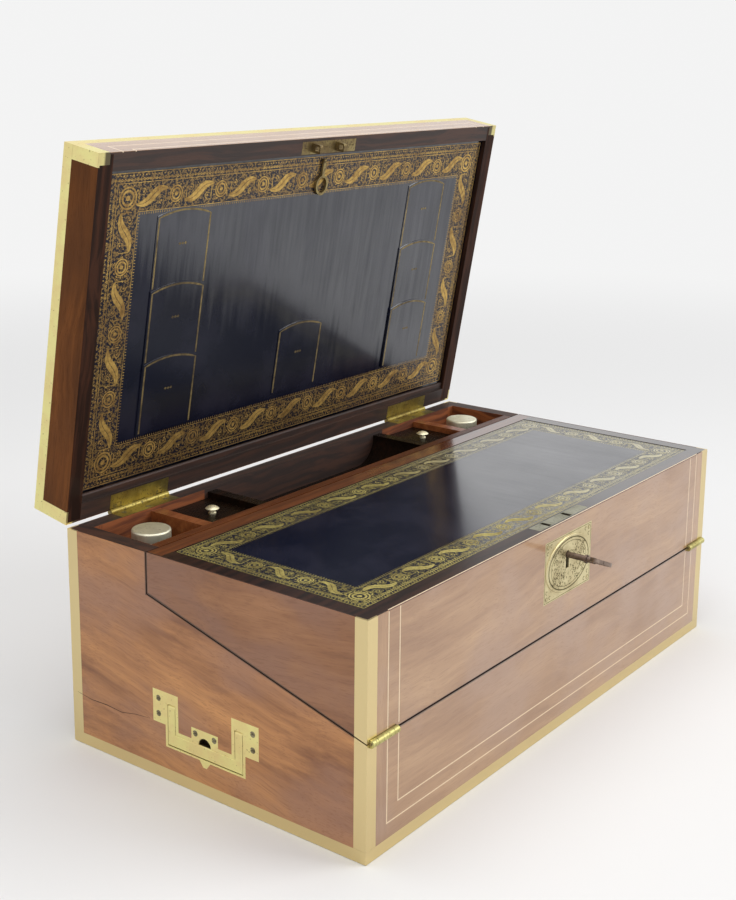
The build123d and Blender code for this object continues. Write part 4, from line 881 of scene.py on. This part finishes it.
def makePockets():
    look = pocketLook
    low, high = walletBox
    side = high.x + look["outset"] - look["sideInset"]
    top, bottom = low.y + look["first"], high.y - look["bottomInset"]
    row = (bottom - top) / look["rows"]
    places = [(x, top + k * row, bottom, k) for x in (-side, side) for k in range(look["rows"])]
    middleBottom = high.y - look["middleInset"]
    places.append((0.0, middleBottom - row, middleBottom, 0))
    hide = bmesh.new()
    for x, mouth, foot, layer in places:
        outline = pocketShape(x, mouth, foot, look["arch"])
        level = low.z - layer * look["leather"]
        under = [hide.verts.new((px, py, level)) for px, py in outline]
        over = [hide.verts.new((px, py, level - look["leather"] + look["arris"])) for px, py in outline]
        inner = pocketShape(x, mouth, foot, look["arch"], look["arris"])
        face = [hide.verts.new((px, py, level - look["leather"])) for px, py in inner]
        for loop in ((under, over), (over, face)):
            for k in range(len(outline)):
                after = (k + 1) % len(outline)
                hide.faces.new((loop[0][k], loop[0][after], loop[1][after], loop[1][k]))
        hide.faces.new(under)
        hide.faces.new(face)
    bmesh.ops.recalc_face_normals(hide, faces=hide.faces[:])
    mesh = bpy.data.meshes.new("pocket_leathers")
    hide.to_mesh(mesh)
    hide.free()
    mesh.transform(raise_)
    mesh.materials.append(pocketHide)
    made = bpy.data.objects.new("pocket_leathers", mesh)
    bpy.context.scene.collection.objects.link(made)
    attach(made, "wallet")
    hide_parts("wallet_pockets")
    for layer in range(look["rows"]):  # a gilt line round each mouth, and a small gilt dash
        tool = Tooling()
        for x, mouth, foot, level in places:
            if level != layer:
                continue
            end = foot if layer == look["rows"] - 1 or x == 0.0 else mouth + row
            line = pocketShape(x, mouth, end, look["arch"], look["giltInset"])
            tool.stroke(line, [look["gilt"]] * len(line))
            dashY = mouth + row * look["dashHeight"]
            for k in (-1, 0, 1):
                tool.dot((x + k * look["dash"] / 3, dashY), look["dash"] / 7, 4)
            ends = [(x - look["dash"] / 2, dashY), (x + look["dash"] / 2, dashY)]
            tool.stroke(ends, [look["dashWidth"]] * 2)
        level = raise_ @ facing(low.z - (layer + 1) * look["leather"], True)
        tool.piece(f"pocket_gilt_{layer + 1}", level, giltThickness, pocketGilt, "wallet", "leather")


makePockets()
print("pockets made")

# ---- engraving of the escutcheon
plateLook = {
    "centre": (2.5 * mm, 136.3 * mm), "half": (35.75 * mm, 25.0 * mm), "oval": (34.0 * mm, 22.5 * mm),
    "rise": 0.8 * mm, "cut": 0.55 * mm, "depth": 0.05 * mm,
    "scrolls": [(0.56, 0.20, 4.0, 300), (0.40, 0.56, 3.2, 280),
                (0.24, 0.28, 2.6, 260), (0.66, 0.48, 1.9, 250)],  # across, up, radius, turn
    "corner": 4.0 * mm, "border": 1.1 * mm, "cuts": 150, "lockHalf": 4.5 * mm, "lockFoot": 128 * mm,
}
engravedDark = metal("engravedDark", (0.20, 0.17, 0.075), (0.13, 0.105, 0.045), (0.05, 0.035, 0.02), 0.45,
                     0.60)


def onFront(rise):  # places a flat drawing upright on the front of the box
    return Matrix.Translation((0, bodyFront - rise, 0)) @ Matrix.Rotation(math.radians(90), 4, "X")


def ovalPoint(middle, reach, angle):  # reach: half the width and half the height of the oval
    return (middle[0] + reach[0] * math.cos(angle), middle[1] + reach[1] * math.sin(angle))


def oval(tool, scale, width, steps=64):
    reach = [half * scale for half in plateLook["oval"]]
    path = [ovalPoint(plateLook["centre"], reach, math.tau * k / steps) for k in range(steps + 1)]
    tool.stroke(path, [width] * len(path))


def scroll(tool, middle, radius, turn, flip):  # a spiral with little leaves along its back
    cut = plateLook["cut"]
    sizes = [radius * (1 - 0.055 * k) for k in range(14)]
    path = [ovalPoint(middle, (flip[0] * size, flip[1] * size), math.radians(turn * k / 13))
            for k, size in enumerate(sizes)]
    tool.stroke(path, [cut * (1.25 - 0.06 * k) for k in range(14)])
    tool.dot(middle, 0.55 * mm, 6)
    for k in range(6):
        angle = math.radians(20 + k * 50)
        foot = ovalPoint(middle, (flip[0] * radius * 1.12, flip[1] * radius * 1.12), angle)
        tip = ovalPoint(foot, (flip[0] * 1.5 * mm, flip[1] * 1.5 * mm), angle + 0.7)
        tool.stroke([foot, tip], [cut * 1.1, cut * 0.3])


def engrave():
    look = plateLook
    cx, cy = look["centre"]
    quarters = [(sideX, sideY) for sideX in (-1, 1) for sideY in (-1, 1)]
    inner = Tooling()
    oval(inner, 0.90, 1.0 * mm)
    oval(inner, 0.79, look["cut"] * 0.7)
    for sideX, sideY in quarters:
        for across, up, radius, turn in look["scrolls"]:
            middle = (cx + sideX * look["oval"][0] * across, cy + sideY * look["oval"][1] * up)
            scroll(inner, middle, radius * mm, turn, (sideX, sideY))
    draw = random.Random(5)
    for k in range(look["cuts"]):  # short leaf cuts filling the ground, none over the lock
        angle, reach = draw.uniform(0, math.tau), 0.76 * math.sqrt(draw.random())
        middle = ovalPoint(look["centre"], [half * reach for half in look["oval"]], angle)
        if abs(middle[0]) > look["lockHalf"] or middle[1] < look["lockFoot"]:
            bend = draw.uniform(0, 360)
            inner.stroke(arcPath(middle, draw.uniform(0.7, 1.6) * mm, bend, draw.uniform(70, 150), 4),
                         [look["cut"] * w for w in (0.3, 0.9, 1.2, 0.9, 0.3)])
    inner.piece("escutcheon_scrolls", onFront(look["rise"]), look["depth"], engravedDark, "slope", "brass")
    outer = Tooling()
    wide, high = look["half"][0] - look["corner"], look["half"][1] - look["corner"]
    for sideX, sideY in quarters:
        corner = (cx + sideX * wide, cy + sideY * high)
        outer.ring(corner, 1.7 * mm, look["cut"] * 0.7, 14)
        for along, off in ((5.2, 0.2), (0.2, 5.2)):
            leaf = (corner[0] - sideX * along * mm, corner[1] - sideY * off * mm)
            outer.stroke(arcPath(leaf, 1.3 * mm, 40, 240, 8), [look["cut"]] * 9)
    wide, high = look["half"][0] - look["border"], look["half"][1] - look["border"]
    line = [(cx + a * wide, cy + b * high) for a, b in ((-1, -1), (1, -1), (1, 1), (-1, 1), (-1, -1))]
    for start, end in zip(line, line[1:]):
        outer.stroke([start, end], [look["cut"] * 0.7] * 2)
    outer.piece("escutcheon_corners", onFront(0), look["depth"], engravedDark, "slope", "brass")


engrave()
print("escutcheon engraved")

# ---- an old crack in the veneer of the left side
crackLook = {
    "path": [(136.5, 41.5), (121.0, 39.6), (104.0, 40.2), (88.0, 39.2), (73.0, 42.2), (58.0, 43.6)],
    "widths": [0.2, 0.55, 0.7, 0.5, 0.4, 0.15],
    "colours": [(0.03, 0.012, 0.006), (0.05, 0.02, 0.010), (0.08, 0.03, 0.014)],
    "depth": 0.03 * mm,
}


def onLeft():  # places a flat drawing upright on the left end of the box
    return Matrix(((0, 0, -1, -bodyEnd), (1, 0, 0, 0), (0, 1, 0, 0), (0, 0, 0, 1)))


def crack():
    tool = Tooling()
    tool.stroke([(y * mm, z * mm) for y, z in crackLook["path"]], [w * mm for w in crackLook["widths"]])
    dark = solidWood("crackDark", "Y", crackLook["colours"], 0.6, 0.0)
    tool.piece("veneer_crack", onLeft(), crackLook["depth"], dark, "case", "case_wood")


crack()
print("crack made")
